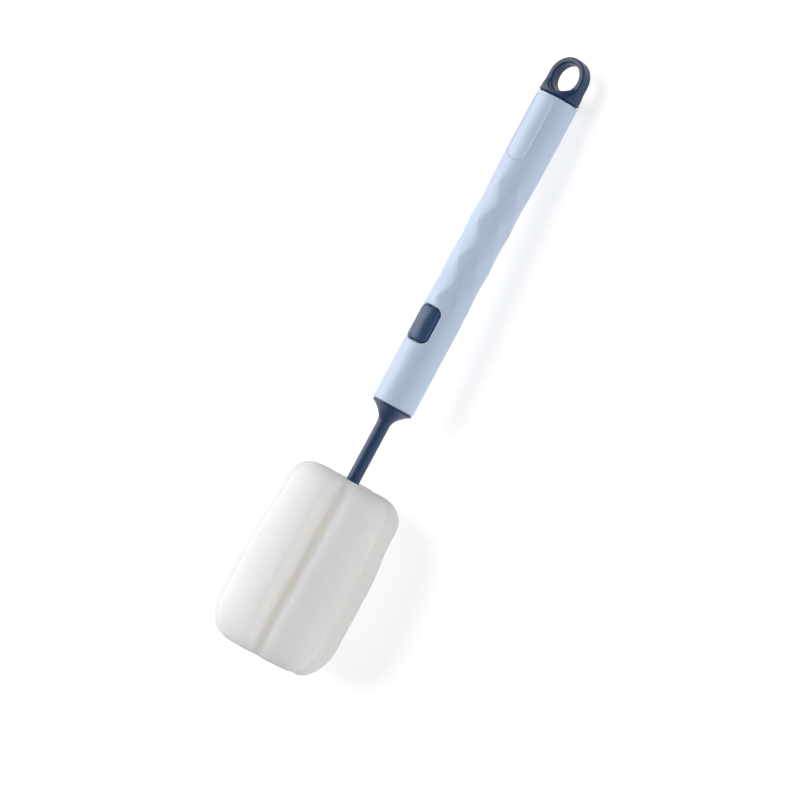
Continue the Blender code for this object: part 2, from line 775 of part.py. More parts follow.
def main():
    """Build every piece, give it its material and lay the brush down."""
    clear_scene()
    parts = new_collection(COLLECTION)
    cutters = new_collection("cutters")
    frame = new_object("rest_frame", None, parts)
    head = new_object("head_frame", None, parts)
    head.parent = frame
    head.location = (0.0, 0.0, HANDLE_BASE)

    pale_blue = plastic("pale_blue_pp", (0.56, 0.66, 0.80), 0.35)
    navy_cap = plastic("navy_cap_pp", (0.025, 0.055, 0.12), 0.38)
    navy_button = plastic("navy_button_pp", (0.025, 0.055, 0.12), 0.34)
    navy_stem = plastic("navy_stem_pp", (0.025, 0.055, 0.12), 0.42)
    natural = plastic("natural_pom", (0.80, 0.80, 0.78), 0.45)
    steel = plastic("spring_steel", (0.55, 0.56, 0.58), 0.30, 1.0)
    foam = plastic("white_foam", (0.90, 0.89, 0.87), 0.95)

    set_up(make_handle_tube(parts, cutters), pale_blue, frame)
    set_up(make_hanging_cap(parts, cutters), navy_cap, frame)
    set_up(make_latch_sleeve(parts, cutters), natural, frame)
    set_up(make_latch_wire(parts), steel, frame)
    button = make_release_button(parts, cutters)
    set_up(button, navy_button, frame)
    set_origin(button, (0.0, -HANDLE_RADIUS, BUTTON_CENTRE))
    for piece, material in (
        (make_head_stem(parts, cutters), navy_stem),
        (make_sponge(parts, cutters), foam),
    ):
        set_up(piece, material, head)
        piece.data.transform(Matrix.Translation((0.0, 0.0, -HANDLE_BASE)))
    for cutter in cutters.objects:
        cutter.parent = frame

    lay_down(frame, [obj for obj in parts.objects if obj.type == "MESH"])


if __name__ == "__main__":
    main()
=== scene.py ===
"""Looks of a sponge cup brush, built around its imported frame.

A round moulded handle with a diamond-faceted grip ends in a hanging ring.  A push
button in its window releases the head: a rod that carries a lobed foam sponge.
Every piece is drawn upright, as the brush would stand on its sponge: the axis is Z,
the sponge's free end is at height 0 and the button faces -Y.  BrushPlace then lays
it where the frame has it.
"""

import json
import logging
import math
from collections.abc import Sequence
from dataclasses import dataclass, field
from enum import Enum
from typing import Any

import bmesh
import bpy
from mathutils import Matrix, Vector, noise

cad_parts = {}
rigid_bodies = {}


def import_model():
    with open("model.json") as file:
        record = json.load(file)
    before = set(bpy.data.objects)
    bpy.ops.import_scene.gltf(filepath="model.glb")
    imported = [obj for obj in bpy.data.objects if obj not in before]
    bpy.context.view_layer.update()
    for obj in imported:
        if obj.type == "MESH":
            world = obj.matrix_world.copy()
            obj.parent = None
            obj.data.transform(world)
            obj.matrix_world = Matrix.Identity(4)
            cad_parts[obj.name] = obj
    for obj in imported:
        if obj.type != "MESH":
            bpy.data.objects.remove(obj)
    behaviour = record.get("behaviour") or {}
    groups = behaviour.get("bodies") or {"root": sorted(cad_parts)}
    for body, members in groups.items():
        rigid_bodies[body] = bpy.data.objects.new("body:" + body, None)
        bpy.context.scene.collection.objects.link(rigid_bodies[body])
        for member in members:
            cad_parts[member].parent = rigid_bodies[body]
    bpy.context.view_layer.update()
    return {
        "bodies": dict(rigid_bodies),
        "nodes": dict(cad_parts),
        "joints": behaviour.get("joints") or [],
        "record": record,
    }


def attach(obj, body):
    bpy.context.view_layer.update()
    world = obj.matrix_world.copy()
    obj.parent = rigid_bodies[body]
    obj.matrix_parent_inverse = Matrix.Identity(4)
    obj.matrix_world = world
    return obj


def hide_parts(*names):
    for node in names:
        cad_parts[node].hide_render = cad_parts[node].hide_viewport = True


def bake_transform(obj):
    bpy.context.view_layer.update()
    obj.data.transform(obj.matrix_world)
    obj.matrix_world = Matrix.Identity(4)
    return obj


MM = 0.001
# Points nearer than this are made one
WELD = 0.002 * MM
# The joint between the tube's end and the cap's or the flange's rim, and the gap inside it
JOINT_GAP = 0.3 * MM
CLEARANCE = 0.03 * MM
# Most values of a noise texture lie between these
NOISE_LOW = 0.35
NOISE_HIGH = 0.65

Point = tuple[float, float, float]
Outline = list[tuple[float, float]]

log = logging.getLogger("sponge_cup_brush")


class Body(Enum):
    """The frame's bodies, which the pieces ride on."""

    HANDLE = "handle"
    BUTTON = "button"
    HEAD = "head"


class Joint(Enum):
    """The frame's joints."""

    PRESS = "button_press"
    RELEASE = "head_release"


class Mix(Enum):
    """How a Boolean puts two solids together."""

    CUT = "DIFFERENCE"
    JOIN = "UNION"


# Colours and nodes


def linear(color: str) -> tuple[float, float, float, float]:
    """Turn an sRGB hex colour into linear light.

    Args:
        color: Six hex digits with a leading #.

    Returns:
        Red, green, blue and an alpha of 1.
    """
    channels = []
    for start in (1, 3, 5):
        value = int(color[start:start + 2], 16) / 255.0
        channels.append(value / 12.92 if value <= 0.04045 else ((value + 0.055) / 1.055) ** 2.4)
    return (channels[0], channels[1], channels[2], 1.0)


def add_node(
    tree: bpy.types.NodeTree,
    kind: str,
    settings: dict[str, Any] | None = None,
    inputs: dict[str | int, Any] | None = None,
) -> bpy.types.Node:
    """Add a node with its settings and links.

    Args:
        tree: The tree that gets the node.
        kind: The node's type.
        settings: Values of the node's own properties.
        inputs: For each input, the socket that feeds it or the value that it holds.

    Returns:
        The new node.
    """
    node = tree.nodes.new(kind)
    for name, value in (settings or {}).items():
        setattr(node, name, value)
    for name, value in (inputs or {}).items():
        if isinstance(value, bpy.types.NodeSocket):
            tree.links.new(value, node.inputs[name])
        else:
            node.inputs[name].default_value = value
    return node


# Finishes


@dataclass(frozen=True)
class Finish:
    """What a piece is made of.

    Attributes:
        slot: The record's material slot.
        color: The body colour.
        tone: The colour that it drifts to, here and there.
        roughness: How far it scatters a reflection.
        ior: Its index of refraction.
    """

    slot: str
    color: str
    tone: str
    roughness: float
    ior: float = 1.5

    @property
    def name(self) -> str:
        """The material's name."""
        return f"{self.slot}_finish"

    def shared(self) -> bpy.types.Material:
        """Build the material, or give the one that is there already.

        Returns:
            The material.
        """
        return bpy.data.materials.get(self.name) or self.material()

    def new_tree(self) -> tuple[bpy.types.Material, bpy.types.NodeTree, bpy.types.Node]:
        """Start a material.

        Returns:
            The material, its node tree and its Principled shader.
        """
        material = bpy.data.materials.new(self.name)
        material.use_nodes = True
        tree = material.node_tree
        shader = tree.nodes["Principled BSDF"]
        shader.inputs["Roughness"].default_value = self.roughness
        shader.inputs["IOR"].default_value = self.ior
        return material, tree, shader

    def material(self) -> bpy.types.Material:
        """Build the material, which each kind of finish does in its own way.

        Returns:
            The material.
        """
        raise NotImplementedError


@dataclass(frozen=True)
class MouldedPlastic(Finish):
    """Injection-moulded plastic from a fine-eroded mould: satin, a little see-through.

    The mould's skin breaks up the highlights, and edges that hands rub are paler and
    smoother than the faces between them.

    Attributes:
        rubbed: The colour of the rubbed edges.
        rub: How far the edges take on that colour.
        polish: How much less rough they are.
        glow: How much light passes through the skin.
        glow_depth: How far that light goes.
        skin_size: Width of the mould skin's grain. The real one is 0.1 mm; it is drawn
            coarser, because 0.1 mm would not show.
        skin_depth: Height of the grain.
        skin_drift: How far the roughness goes up and down over the grain.
        drift_size: Width of the slow changes of tone.
    """

    rubbed: str = "#FFFFFF"
    rub: float = 0.2
    polish: float = 0.06
    glow: float = 0.0
    glow_depth: float = 1.5 * MM
    skin_size: float = 0.45 * MM
    skin_depth: float = 0.006 * MM
    skin_drift: float = 0.05
    drift_size: float = 22.0 * MM

    def material(self) -> bpy.types.Material:
        """Build the material.

        Returns:
            The material.
        """
        material, tree, shader = self.new_tree()
        shader.inputs["Subsurface Weight"].default_value = self.glow
        shader.inputs["Subsurface Scale"].default_value = self.glow_depth
        shader.inputs["Subsurface Radius"].default_value = (1.0, 1.0, 1.0)
        place = add_node(tree, "ShaderNodeTexCoord").outputs["Object"]
        drift = add_node(
            tree, "ShaderNodeTexNoise", None, {"Vector": place, "Scale": 1.0 / self.drift_size}
        )
        drift_range = add_node(
            tree,
            "ShaderNodeMapRange",
            None,
            {"Value": drift.outputs["Fac"], "From Min": NOISE_LOW, "From Max": NOISE_HIGH},
        )
        body = add_node(
            tree,
            "ShaderNodeMix",
            {"data_type": "RGBA"},
            {0: drift_range.outputs["Result"], 6: linear(self.color), 7: linear(self.tone)},
        )
        ridge = add_node(tree, "ShaderNodeAttribute", {"attribute_name": "ridge"})
        worn = add_node(
            tree,
            "ShaderNodeMath",
            {"operation": "MULTIPLY"},
            {0: ridge.outputs["Fac"], 1: self.rub},
        )
        color = add_node(
            tree,
            "ShaderNodeMix",
            {"data_type": "RGBA"},
            {0: worn.outputs["Value"], 6: body.outputs[2], 7: linear(self.rubbed)},
        )
        skin = add_node(
            tree,
            "ShaderNodeTexNoise",
            None,
            {"Vector": place, "Scale": 1.0 / self.skin_size, "Detail": 3.0},
        )
        gloss = add_node(
            tree,
            "ShaderNodeMapRange",
            None,
            {
                "Value": skin.outputs["Fac"],
                "To Min": self.roughness - self.skin_drift,
                "To Max": self.roughness + self.skin_drift,
            },
        )
        polished = add_node(
            tree,
            "ShaderNodeMath",
            {"operation": "MULTIPLY_ADD"},
            {0: ridge.outputs["Fac"], 1: -self.polish, 2: gloss.outputs["Result"]},
        )
        bump = add_node(
            tree,
            "ShaderNodeBump",
            None,
            {"Height": skin.outputs["Fac"], "Distance": self.skin_depth, "Strength": 1.0},
        )
        tree.links.new(color.outputs[2], shader.inputs["Base Color"])
        tree.links.new(polished.outputs["Value"], shader.inputs["Roughness"])
        tree.links.new(bump.outputs["Normal"], shader.inputs["Normal"])
        return material


@dataclass(frozen=True)
class SpringWire(Finish):
    """Cold-drawn spring steel: bright, with fine lines from the drawing die.

    Attributes:
        line_width: Distance between the drawing lines.
        line_depth: Depth of the lines.
        line_stretch: How fast a line changes along the wire, as a share of across it.
    """

    line_width: float = 0.05 * MM
    line_depth: float = 0.002 * MM
    line_stretch: float = 0.05

    def material(self) -> bpy.types.Material:
        """Build the material.

        Returns:
            The material.
        """
        material, tree, shader = self.new_tree()
        shader.inputs["Metallic"].default_value = 1.0
        place = add_node(tree, "ShaderNodeTexCoord").outputs["Object"]
        # The brush lies along Y, and so do the wire's legs and their drawing lines
        stretched = add_node(
            tree,
            "ShaderNodeMapping",
            None,
            {"Vector": place, "Scale": (1.0, self.line_stretch, 1.0)},
        )
        lines = add_node(
            tree,
            "ShaderNodeTexNoise",
            None,
            {"Vector": stretched.outputs["Vector"], "Scale": 1.0 / self.line_width},
        )
        color = add_node(
            tree,
            "ShaderNodeMix",
            {"data_type": "RGBA"},
            {0: lines.outputs["Fac"], 6: linear(self.color), 7: linear(self.tone)},
        )
        bump = add_node(
            tree,
            "ShaderNodeBump",
            None,
            {"Height": lines.outputs["Fac"], "Distance": self.line_depth, "Strength": 1.0},
        )
        tree.links.new(color.outputs[2], shader.inputs["Base Color"])
        tree.links.new(bump.outputs["Normal"], shader.inputs["Normal"])
        return material


@dataclass(frozen=True)
class SoftFoam(Finish):
    """Fine open-cell polyurethane foam: dull and soft in the light, with painted shade: warmer deep in
    its grooves and darker inside its pores.

    Attributes:
        groove_shade: Painted shade: the warmer colour deep in a groove, where the groove's shade
            falls.
        pore_shade: Painted shade: the darker colour inside a pore.
        pore_shading: How far a pore's inside takes on that painted shade.
        pore_size: Width of a pore. The real ones are 0.3 mm and less; they are drawn
            coarser, because 0.3 mm would not show.
        pore_floor: Distance from a pore's middle at which its wall begins, in pores.
        pore_edge: Distance from its middle at which its wall ends.
        pore_melt: How far the pores run into each other.
        pore_depth: Depth of a pore.
        relief: How strongly the pores' walls catch the light.
        drift_size: Width of the slow changes of tone.
        shine: Its specular level, low because the cell walls face all ways.
        glow: How much light passes into the foam.
        glow_depth: How far that light goes.
        glow_tint: How far red, green and blue light go, as shares of that.
    """

    groove_shade: str = "#FFFAF1"
    pore_shade: str = "#F5F3F0"
    pore_shading: float = 0.45
    pore_size: float = 0.55 * MM
    pore_floor: float = 0.12
    pore_edge: float = 0.42
    pore_melt: float = 0.4
    pore_depth: float = 0.16 * MM
    relief: float = 0.7
    drift_size: float = 9.0 * MM
    shine: float = 0.15
    glow: float = 1.0
    glow_depth: float = 20.0 * MM
    glow_tint: tuple[float, float, float] = (1.0, 0.94, 0.86)

    def material(self) -> bpy.types.Material:
        """Build the material.

        Returns:
            The material.
        """
        material, tree, shader = self.new_tree()
        shader.inputs["Specular IOR Level"].default_value = self.shine
        shader.inputs["Subsurface Weight"].default_value = self.glow
        shader.inputs["Subsurface Scale"].default_value = self.glow_depth
        shader.inputs["Subsurface Radius"].default_value = self.glow_tint
        place = add_node(tree, "ShaderNodeTexCoord").outputs["Object"]
        drift = add_node(
            tree, "ShaderNodeTexNoise", None, {"Vector": place, "Scale": 1.0 / self.drift_size}
        )
        body = add_node(
            tree,
            "ShaderNodeMix",
            {"data_type": "RGBA"},
            {0: drift.outputs["Fac"], 6: linear(self.color), 7: linear(self.tone)},
        )
        # Painted shade: deep in a groove the foam's colour turns warmer, standing in for the shade
        # there
        groove = add_node(tree, "ShaderNodeAttribute", {"attribute_name": "groove"})
        groove_shaded = add_node(
            tree,
            "ShaderNodeMix",
            {"data_type": "RGBA"},
            {0: groove.outputs["Fac"], 6: body.outputs[2], 7: linear(self.groove_shade)},
        )
        cells = add_node(
            tree,
            "ShaderNodeTexVoronoi",
            {"feature": "SMOOTH_F1"},
            {"Vector": place, "Scale": 1.0 / self.pore_size, "Smoothness": self.pore_melt},
        )
        open_pore = add_node(
            tree,
            "ShaderNodeMapRange",
            {"interpolation_type": "SMOOTHSTEP"},
            {
                "Value": cells.outputs["Distance"],
                "From Min": self.pore_floor,
                "From Max": self.pore_edge,
                "To Min": 1.0,
                "To Max": 0.0,
            },
        )
        # Painted shade: the insides of the pores are drawn darker
        shade = add_node(
            tree,
            "ShaderNodeMath",
            {"operation": "MULTIPLY"},
            {0: open_pore.outputs["Result"], 1: self.pore_shading},
        )
        color = add_node(
            tree,
            "ShaderNodeMix",
            {"data_type": "RGBA"},
            {0: shade.outputs["Value"], 6: groove_shaded.outputs[2], 7: linear(self.pore_shade)},
        )
        bump = add_node(
            tree,
            "ShaderNodeBump",
            {"invert": True},
            {
                "Height": open_pore.outputs["Result"],
                "Distance": self.pore_depth,
                "Strength": self.relief,
            },
        )
        tree.links.new(color.outputs[2], shader.inputs["Base Color"])
        tree.links.new(bump.outputs["Normal"], shader.inputs["Normal"])
        return material


@dataclass(frozen=True)
class StudioPaper(Finish):
    """Matt white background paper, uncoated: it scatters light and mirrors none.

    The camera sees it white, apart from shadows.

    Attributes:
        lift: Light that only the camera, reflections and glass see.
    """

    lift: float = 0.68

    def material(self) -> bpy.types.Material:
        """Build the material.

        Returns:
            The material.
        """
        material, tree, shader = self.new_tree()
        shader.inputs["Base Color"].default_value = linear(self.color)
        shader.inputs["Specular IOR Level"].default_value = 0.0
        path = add_node(tree, "ShaderNodeLightPath")
        seen = add_node(
            tree,
            "ShaderNodeMath",
            {"operation": "MAXIMUM"},
            {0: path.outputs["Is Camera Ray"], 1: path.outputs["Is Glossy Ray"]},
        )
        through = add_node(
            tree,
            "ShaderNodeMath",
            {"operation": "MAXIMUM"},
            {0: seen.outputs["Value"], 1: path.outputs["Is Transmission Ray"]},
        )
        strength = add_node(
            tree,
            "ShaderNodeMath",
            {"operation": "MULTIPLY"},
            {0: through.outputs["Value"], 1: self.lift},
        )
        shader.inputs["Emission Color"].default_value = linear(self.tone)
        tree.links.new(strength.outputs["Value"], shader.inputs["Emission Strength"])
        return material


# Moulded polypropylene, pale blue: satin, and light passes a little way into it
PALE_BLUE = MouldedPlastic(
    "pale_blue_pp", "#CCDDF3", "#C7D9F1", 0.36, 1.49, rubbed="#DEE9F6", glow=0.12
)
# The same in navy: satin, no light passes into it. One plastic, drawn in three shades as painted light
# and shade: the button lighter and the cap darker than the stem
NAVY_CAP = MouldedPlastic("navy_cap_pp", "#12345A", "#103054", 0.4, 1.49, rubbed="#3A5C84")
NAVY_BUTTON = MouldedPlastic("navy_button_pp", "#2E4D70", "#2B486A", 0.36, 1.49, rubbed="#46627F")
NAVY_STEM = MouldedPlastic("navy_stem_pp", "#244064", "#213C5F", 0.4, 1.49, rubbed="#3E5C84")
# Moulded acetal without colour: milky white and waxy
NATURAL_ACETAL = MouldedPlastic(
    "natural_pom", "#E9E8E2", "#E3E2DB", 0.42, 1.48, rubbed="#F2F1EC", glow=0.1
)
# Drawn spring steel: bright grey, with lines along the wire
BRIGHT_WIRE = SpringWire("spring_steel", "#C4C6C9", "#A9ABAF", 0.28)
# Cut polyurethane foam: warm white, so soft that no edge or shadow on it is hard; painted shade makes
# it warmer in its grooves and darker in its pores
WHITE_FOAM = SoftFoam("white_foam", "#FDF9F7", "#FBF7F5", 0.95)
# Background paper: the floor keeps the brush's shadow, the backdrop is plain white
WHITE_PAPER = StudioPaper("studio_paper", "#C4C4C4", "#FFFFFF", 1.0)
WHITE_BACKDROP = StudioPaper("studio_backdrop", "#C4C4C4", "#FFFFFF", 1.0, lift=1.0)


# Meshes


def new_object(name: str, data: bpy.types.ID) -> bpy.types.Object:
    """Put a mesh or a curve into the scene as an object.

    Args:
        name: The object's name.
        data: The mesh or curve.

    Returns:
        The object.
    """
    obj = bpy.data.objects.new(name, data)
    bpy.context.scene.collection.objects.link(obj)
    return obj


def merge_points(mesh: bpy.types.Mesh, outwards: bool = False) -> None:
    """Merge a mesh's doubled points.

    Args:
        mesh: The mesh.
        outwards: Whether its faces are turned outwards too.
    """
    work = bmesh.new()
    work.from_mesh(mesh)
    bmesh.ops.remove_doubles(work, verts=work.verts, dist=WELD)
    if outwards:
        bmesh.ops.recalc_face_normals(work, faces=work.faces)
    work.to_mesh(mesh)
    work.free()


def solid(name: str, points: Sequence[Point], faces: Sequence[Sequence[int]]) -> bpy.types.Object:
    """Make a closed mesh: doubled points merged, faces turned outwards.

    Args:
        name: The object's name.
        points: The points.
        faces: Point numbers of each face.

    Returns:
        The object.
    """
    mesh = bpy.data.meshes.new(name)
    mesh.from_pydata(points, [], faces)
    merge_points(mesh, outwards=True)
    return new_object(name, mesh)


def turned(name: str, profile: Outline, steps: int, ring: bool = False) -> bpy.types.Object:
    """Turn a profile about Z.

    Args:
        name: The object's name.
        profile: Points of (radius, height), from one end to the other.
        steps: Number of sides.
        ring: Whether the profile is closed, so that the solid has a hole along Z.

    Returns:
        The turned solid.
    """
    points = []
    faces = []
    count = len(profile)
    for step in range(steps):
        angle = math.tau * step / steps
        points += [(r * math.sin(angle), -r * math.cos(angle), z) for r, z in profile]
        start = step * count
        following = (step + 1) % steps * count
        for i in range(count if ring else count - 1):
            j = (i + 1) % count
            faces.append((start + i, start + j, following + j, following + i))
    return solid(name, points, faces)


def lofted(name: str, rings: Sequence[Sequence[Point]], first: Point, last: Point) -> bpy.types.Object:
    """Skin rings of equal count, and close both ends with a fan to a point.

    Args:
        name: The object's name.
        rings: The rings, from one end to the other.
        first: The point that closes the first ring.
        last: The point that closes the last ring.

    Returns:
        The lofted solid.
    """
    count = len(rings[0])
    points = [first] + [point for ring in rings for point in ring] + [last]
    faces: list[tuple[int, ...]] = []
    final = 1 + (len(rings) - 1) * count
    for i in range(count):
        j = (i + 1) % count
        faces.append((0, 1 + j, 1 + i))
        for row in range(1, final, count):
            faces.append((row + i, row + j, row + count + j, row + count + i))
        faces.append((final + i, final + j, len(points) - 1))
    return solid(name, points, faces)


def softened(corners: Sequence[tuple[float, float, float]], steps: int = 5) -> Outline:
    """Round the corners of an open profile.

    Args:
        corners: Points of (radius, height, size of the round at that corner).
        steps: Number of pieces in each round.

    Returns:
        The profile with its rounds.
    """
    # A round takes up less than half of each side
    most = 0.48
    profile = []
    for index, (x, y, size) in enumerate(corners):
        here = Vector((x, y))
        if size == 0.0 or index in (0, len(corners) - 1):
            profile.append((x, y))
            continue
        before = Vector(corners[index - 1][:2]) - here
        after = Vector(corners[index + 1][:2]) - here
        start = here + before.normalized() * min(size, before.length * most)
        end = here + after.normalized() * min(size, after.length * most)
        for step in range(steps + 1):
            share = step / steps
            spot = start * (1 - share) ** 2 + here * 2 * share * (1 - share) + end * share**2
            profile.append((spot.x, spot.y))
    return profile


def arc(centre: tuple[float, float], radius: float, start: float, end: float, steps: int) -> Outline:
    """Points on a circle's arc.

    Args:
        centre: The circle's centre.
        radius: Its radius.
        start: First angle, in degrees.
        end: Last angle, in degrees.
        steps: Number of pieces.

    Returns:
        The points, both ends included.
    """
    points = []
    for step in range(steps + 1):
        angle = math.radians(start + (end - start) * step / steps)
        points.append((centre[0] + radius * math.cos(angle), centre[1] + radius * math.sin(angle)))
    return points


def rounded_rectangle(
    half_width: float, half_height: float, corner: float, top_corner: float | None = None
) -> Outline:
    """Outline of a rectangle with round corners, with points all along its sides.

    Args:
        half_width: Half of its width.
        half_height: Half of its height.
        corner: Radius of its corners.
        top_corner: Radius of its upper corners, if they differ.

    Returns:
        The points, running round once.
    """
    corner_steps = 10
    side_steps = 8
    outline = []
    for quarter in range(4):
        size = corner if quarter > 1 or top_corner is None else top_corner
        x = half_width - size if quarter in (0, 3) else size - half_width
        z = half_height - size if quarter in (0, 1) else size - half_height
        outline += arc((x, z), size, 90.0 * quarter, 90.0 * (quarter + 1), corner_steps)
    points = []
    for index, (x, z) in enumerate(outline):
        next_x, next_z = outline[(index + 1) % len(outline)]
        pieces = side_steps if (index + 1) % (corner_steps + 1) == 0 else 1
        for step in range(pieces):
            share = step / pieces
            points.append((x + (next_x - x) * share, z + (next_z - z) * share))
    return points


def steps_between(start: float, end: float, pitch: float) -> list[float]:
    """Even steps from one height towards another, without the last.

    Args:
        start: The first height.
        end: The height to stop short of.
        pitch: The largest step.

    Returns:
        The heights.
    """
    count = max(math.ceil(abs(end - start) / pitch), 1)
    return [start + (end - start) * i / count for i in range(count)]


def apply_modifiers(obj: bpy.types.Object) -> None:
    """Turn an object's modifiers into plain mesh.

    Args:
        obj: The object, which keeps its name.
    """
    depsgraph = bpy.context.evaluated_depsgraph_get()
    mesh = bpy.data.meshes.new_from_object(obj.evaluated_get(depsgraph))
    obj.modifiers.clear()
    obj.data = mesh
    mesh.name = obj.name


def combine(obj: bpy.types.Object, other: bpy.types.Object, how: Mix) -> None:
    """Cut an object with another, or join them, and drop the other.

    Args:
        obj: The object that stays.
        other: The cutter, or the piece to join.
        how: Which of the two.
    """
    modifier = obj.modifiers.new("combine", "BOOLEAN")
    modifier.operation = how.value
    modifier.object = other
    apply_modifiers(obj)
    bpy.data.objects.remove(other, do_unlink=True)


def even_out(obj: bpy.types.Object, voxel: float, rounds: int) -> None:
    """Mesh an object anew in even cells, and soften it.

    Args:
        obj: The object.
        voxel: Size of a cell.
        rounds: Rounds of smoothing.
    """
    remesh = obj.modifiers.new("even", "REMESH")
    remesh.mode = "VOXEL"
    remesh.voxel_size = voxel
    relax = obj.modifiers.new("soften", "SMOOTH")
    relax.factor = 0.5
    relax.iterations = rounds
    apply_modifiers(obj)


def smooth(obj: bpy.types.Object, degrees: float) -> None:
    """Shade an object smooth, apart from its sharp edges.

    Args:
        obj: The object.
        degrees: The angle from which an edge is sharp.
    """
    obj.data.shade_smooth()
    obj.data.set_sharp_from_angle(angle=math.radians(degrees))


def triangles(obj: bpy.types.Object) -> int:
    """Count the triangles of a mesh object.

    Args:
        obj: The object.

    Returns:
        Their number.
    """
    return sum(len(face.vertices) - 2 for face in obj.data.polygons)


# Geometry node trees


def new_geometry_tree(name: str, inputs: dict[str, str]) -> bpy.types.NodeTree:
    """Start a tree that takes geometry, named sizes and a material.

    Args:
        name: The tree's name.
        inputs: For each size, its type.

    Returns:
        The tree.
    """
    tree = bpy.data.node_groups.new(name, "GeometryNodeTree")
    for label, kind in {"Geometry": "Geometry", **inputs, "Material": "Material"}.items():
        tree.interface.new_socket(label, in_out="INPUT", socket_type=f"NodeSocket{kind}")
    tree.interface.new_socket("Geometry", in_out="OUTPUT", socket_type="NodeSocketGeometry")
    return tree


def end_tree(
    tree: bpy.types.NodeTree, geometry: bpy.types.NodeSocket, material: bpy.types.NodeSocket
) -> None:
    """End a tree with real geometry in its material.

    Args:
        tree: The tree.
        geometry: The socket that gives the geometry.
        material: The socket that gives the material.
    """
    real = add_node(tree, "GeometryNodeRealizeInstances", None, {0: geometry})
    dressed = add_node(
        tree, "GeometryNodeSetMaterial", None, {"Geometry": real.outputs[0], "Material": material}
    )
    add_node(tree, "NodeGroupOutput", None, {0: dressed.outputs[0]})


def run_tree(obj: bpy.types.Object, tree: bpy.types.NodeTree, values: dict[str, Any]) -> None:
    """Run a tree on an object, and keep what it makes as the object's mesh.

    Args:
        obj: The object.
        tree: The tree.
        values: What each of its inputs holds.
    """
    modifier = obj.modifiers.new(tree.name, "NODES")
    modifier.node_group = tree
    for item in tree.interface.items_tree:
        if item.in_out == "INPUT" and item.name in values:
            modifier[item.identifier] = values[item.name]
    apply_modifiers(obj)


# Place


@dataclass(frozen=True)
class Span:
    """A node's extent in the upright brush.

    Attributes:
        low: Lowest corner.
        high: Highest corner.
    """

    low: Vector
    high: Vector

    @property
    def middle(self) -> Vector:
        """The centre of the extent."""
        return (self.low + self.high) / 2.0


@dataclass(frozen=True)
class Bend:
    """How a springy piece bends between two bodies.

    Attributes:
        body: The body that its far end follows.
        start: Height on the upright brush at which it leaves the first body. Not used.
        end: Height from which it follows the second. Not used.
    """

    body: Body
    start: float
    end: float


class BrushPlace:
    """The upright brush, and where the frame has it lying."""

    def __init__(self, frame: dict[str, Any]) -> None:
        """Read the brush's directions from its joints and its axis from its handle.
        """
        axes = {joint["name"]: Vector(joint["axis"]) for joint in frame["joints"]}
        up = -axes[Joint.RELEASE.value]
        back = axes[Joint.PRESS.value]
        self.nodes = frame["nodes"]
        self.matrix = Matrix((back.cross(up), back, up)).transposed().to_4x4()
        handle = self.span("handle_tube").middle
        foot = self.span("sponge").low.z
        self.matrix = self.matrix @ Matrix.Translation((handle.x, handle.y, foot))

    def span(self, node: str) -> Span:
        """Measure a node in the upright brush.

        Args:
            node: The node's name.

        Returns:
            Its extent.
        """
        upright = self.matrix.inverted()
        points = [upright @ vert.co for vert in self.nodes[node].data.vertices]
        low = Vector([min(point[axis] for point in points) for axis in range(3)])
        high = Vector([max(point[axis] for point in points) for axis in range(3)])
        return Span(low, high)

    def copy_upright(self, node: str, name: str) -> bpy.types.Object:
        """Copy a node's mesh, merged and upright.

        Args:
            node: The node's name.
            name: The copy's name.

        Returns:
            The copy.
        """
        mesh = self.nodes[node].data.copy()
        mesh.name = name
        mesh.transform(self.matrix.inverted())
        merge_points(mesh)
        return new_object(name, mesh)

    def lay(
        self,
        obj: bpy.types.Object,
        body: Body,
        finish: Finish,
        replaced: Sequence[str] = (),
        bend: Bend | None = None,
    ) -> bpy.types.Object:
        """Lay a finished upright piece in its place, and attach it to its body unless a bend is given.

        Args:
            obj: The piece.
            body: The body that it rides on.
            finish: Its finish.
            replaced: The nodes that it stands for.
            bend: How it bends towards a second body, if it does. Such a piece has its place baked into
                its mesh and is not attached.

        Returns:
            The piece.
        """
        obj.data.transform(self.matrix)
        obj.data.materials.clear()
        obj.data.materials.append(finish.shared())
        if bend:
            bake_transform(obj)
            way = f"bends from {body.value} to {bend.body.value}"
        else:
            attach(obj, body.value)
            way = f"rides on {body.value}"
        if replaced:
            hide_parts(*replaced)
        log.info("%s %s: %d triangles", obj.name, way, triangles(obj))
        return obj


# Handle


# The nodes of the grip's sums
SUM = "ShaderNodeMath"
LENGTH = "ShaderNodeVectorMath"
VECTOR = "ShaderNodeCombineXYZ"

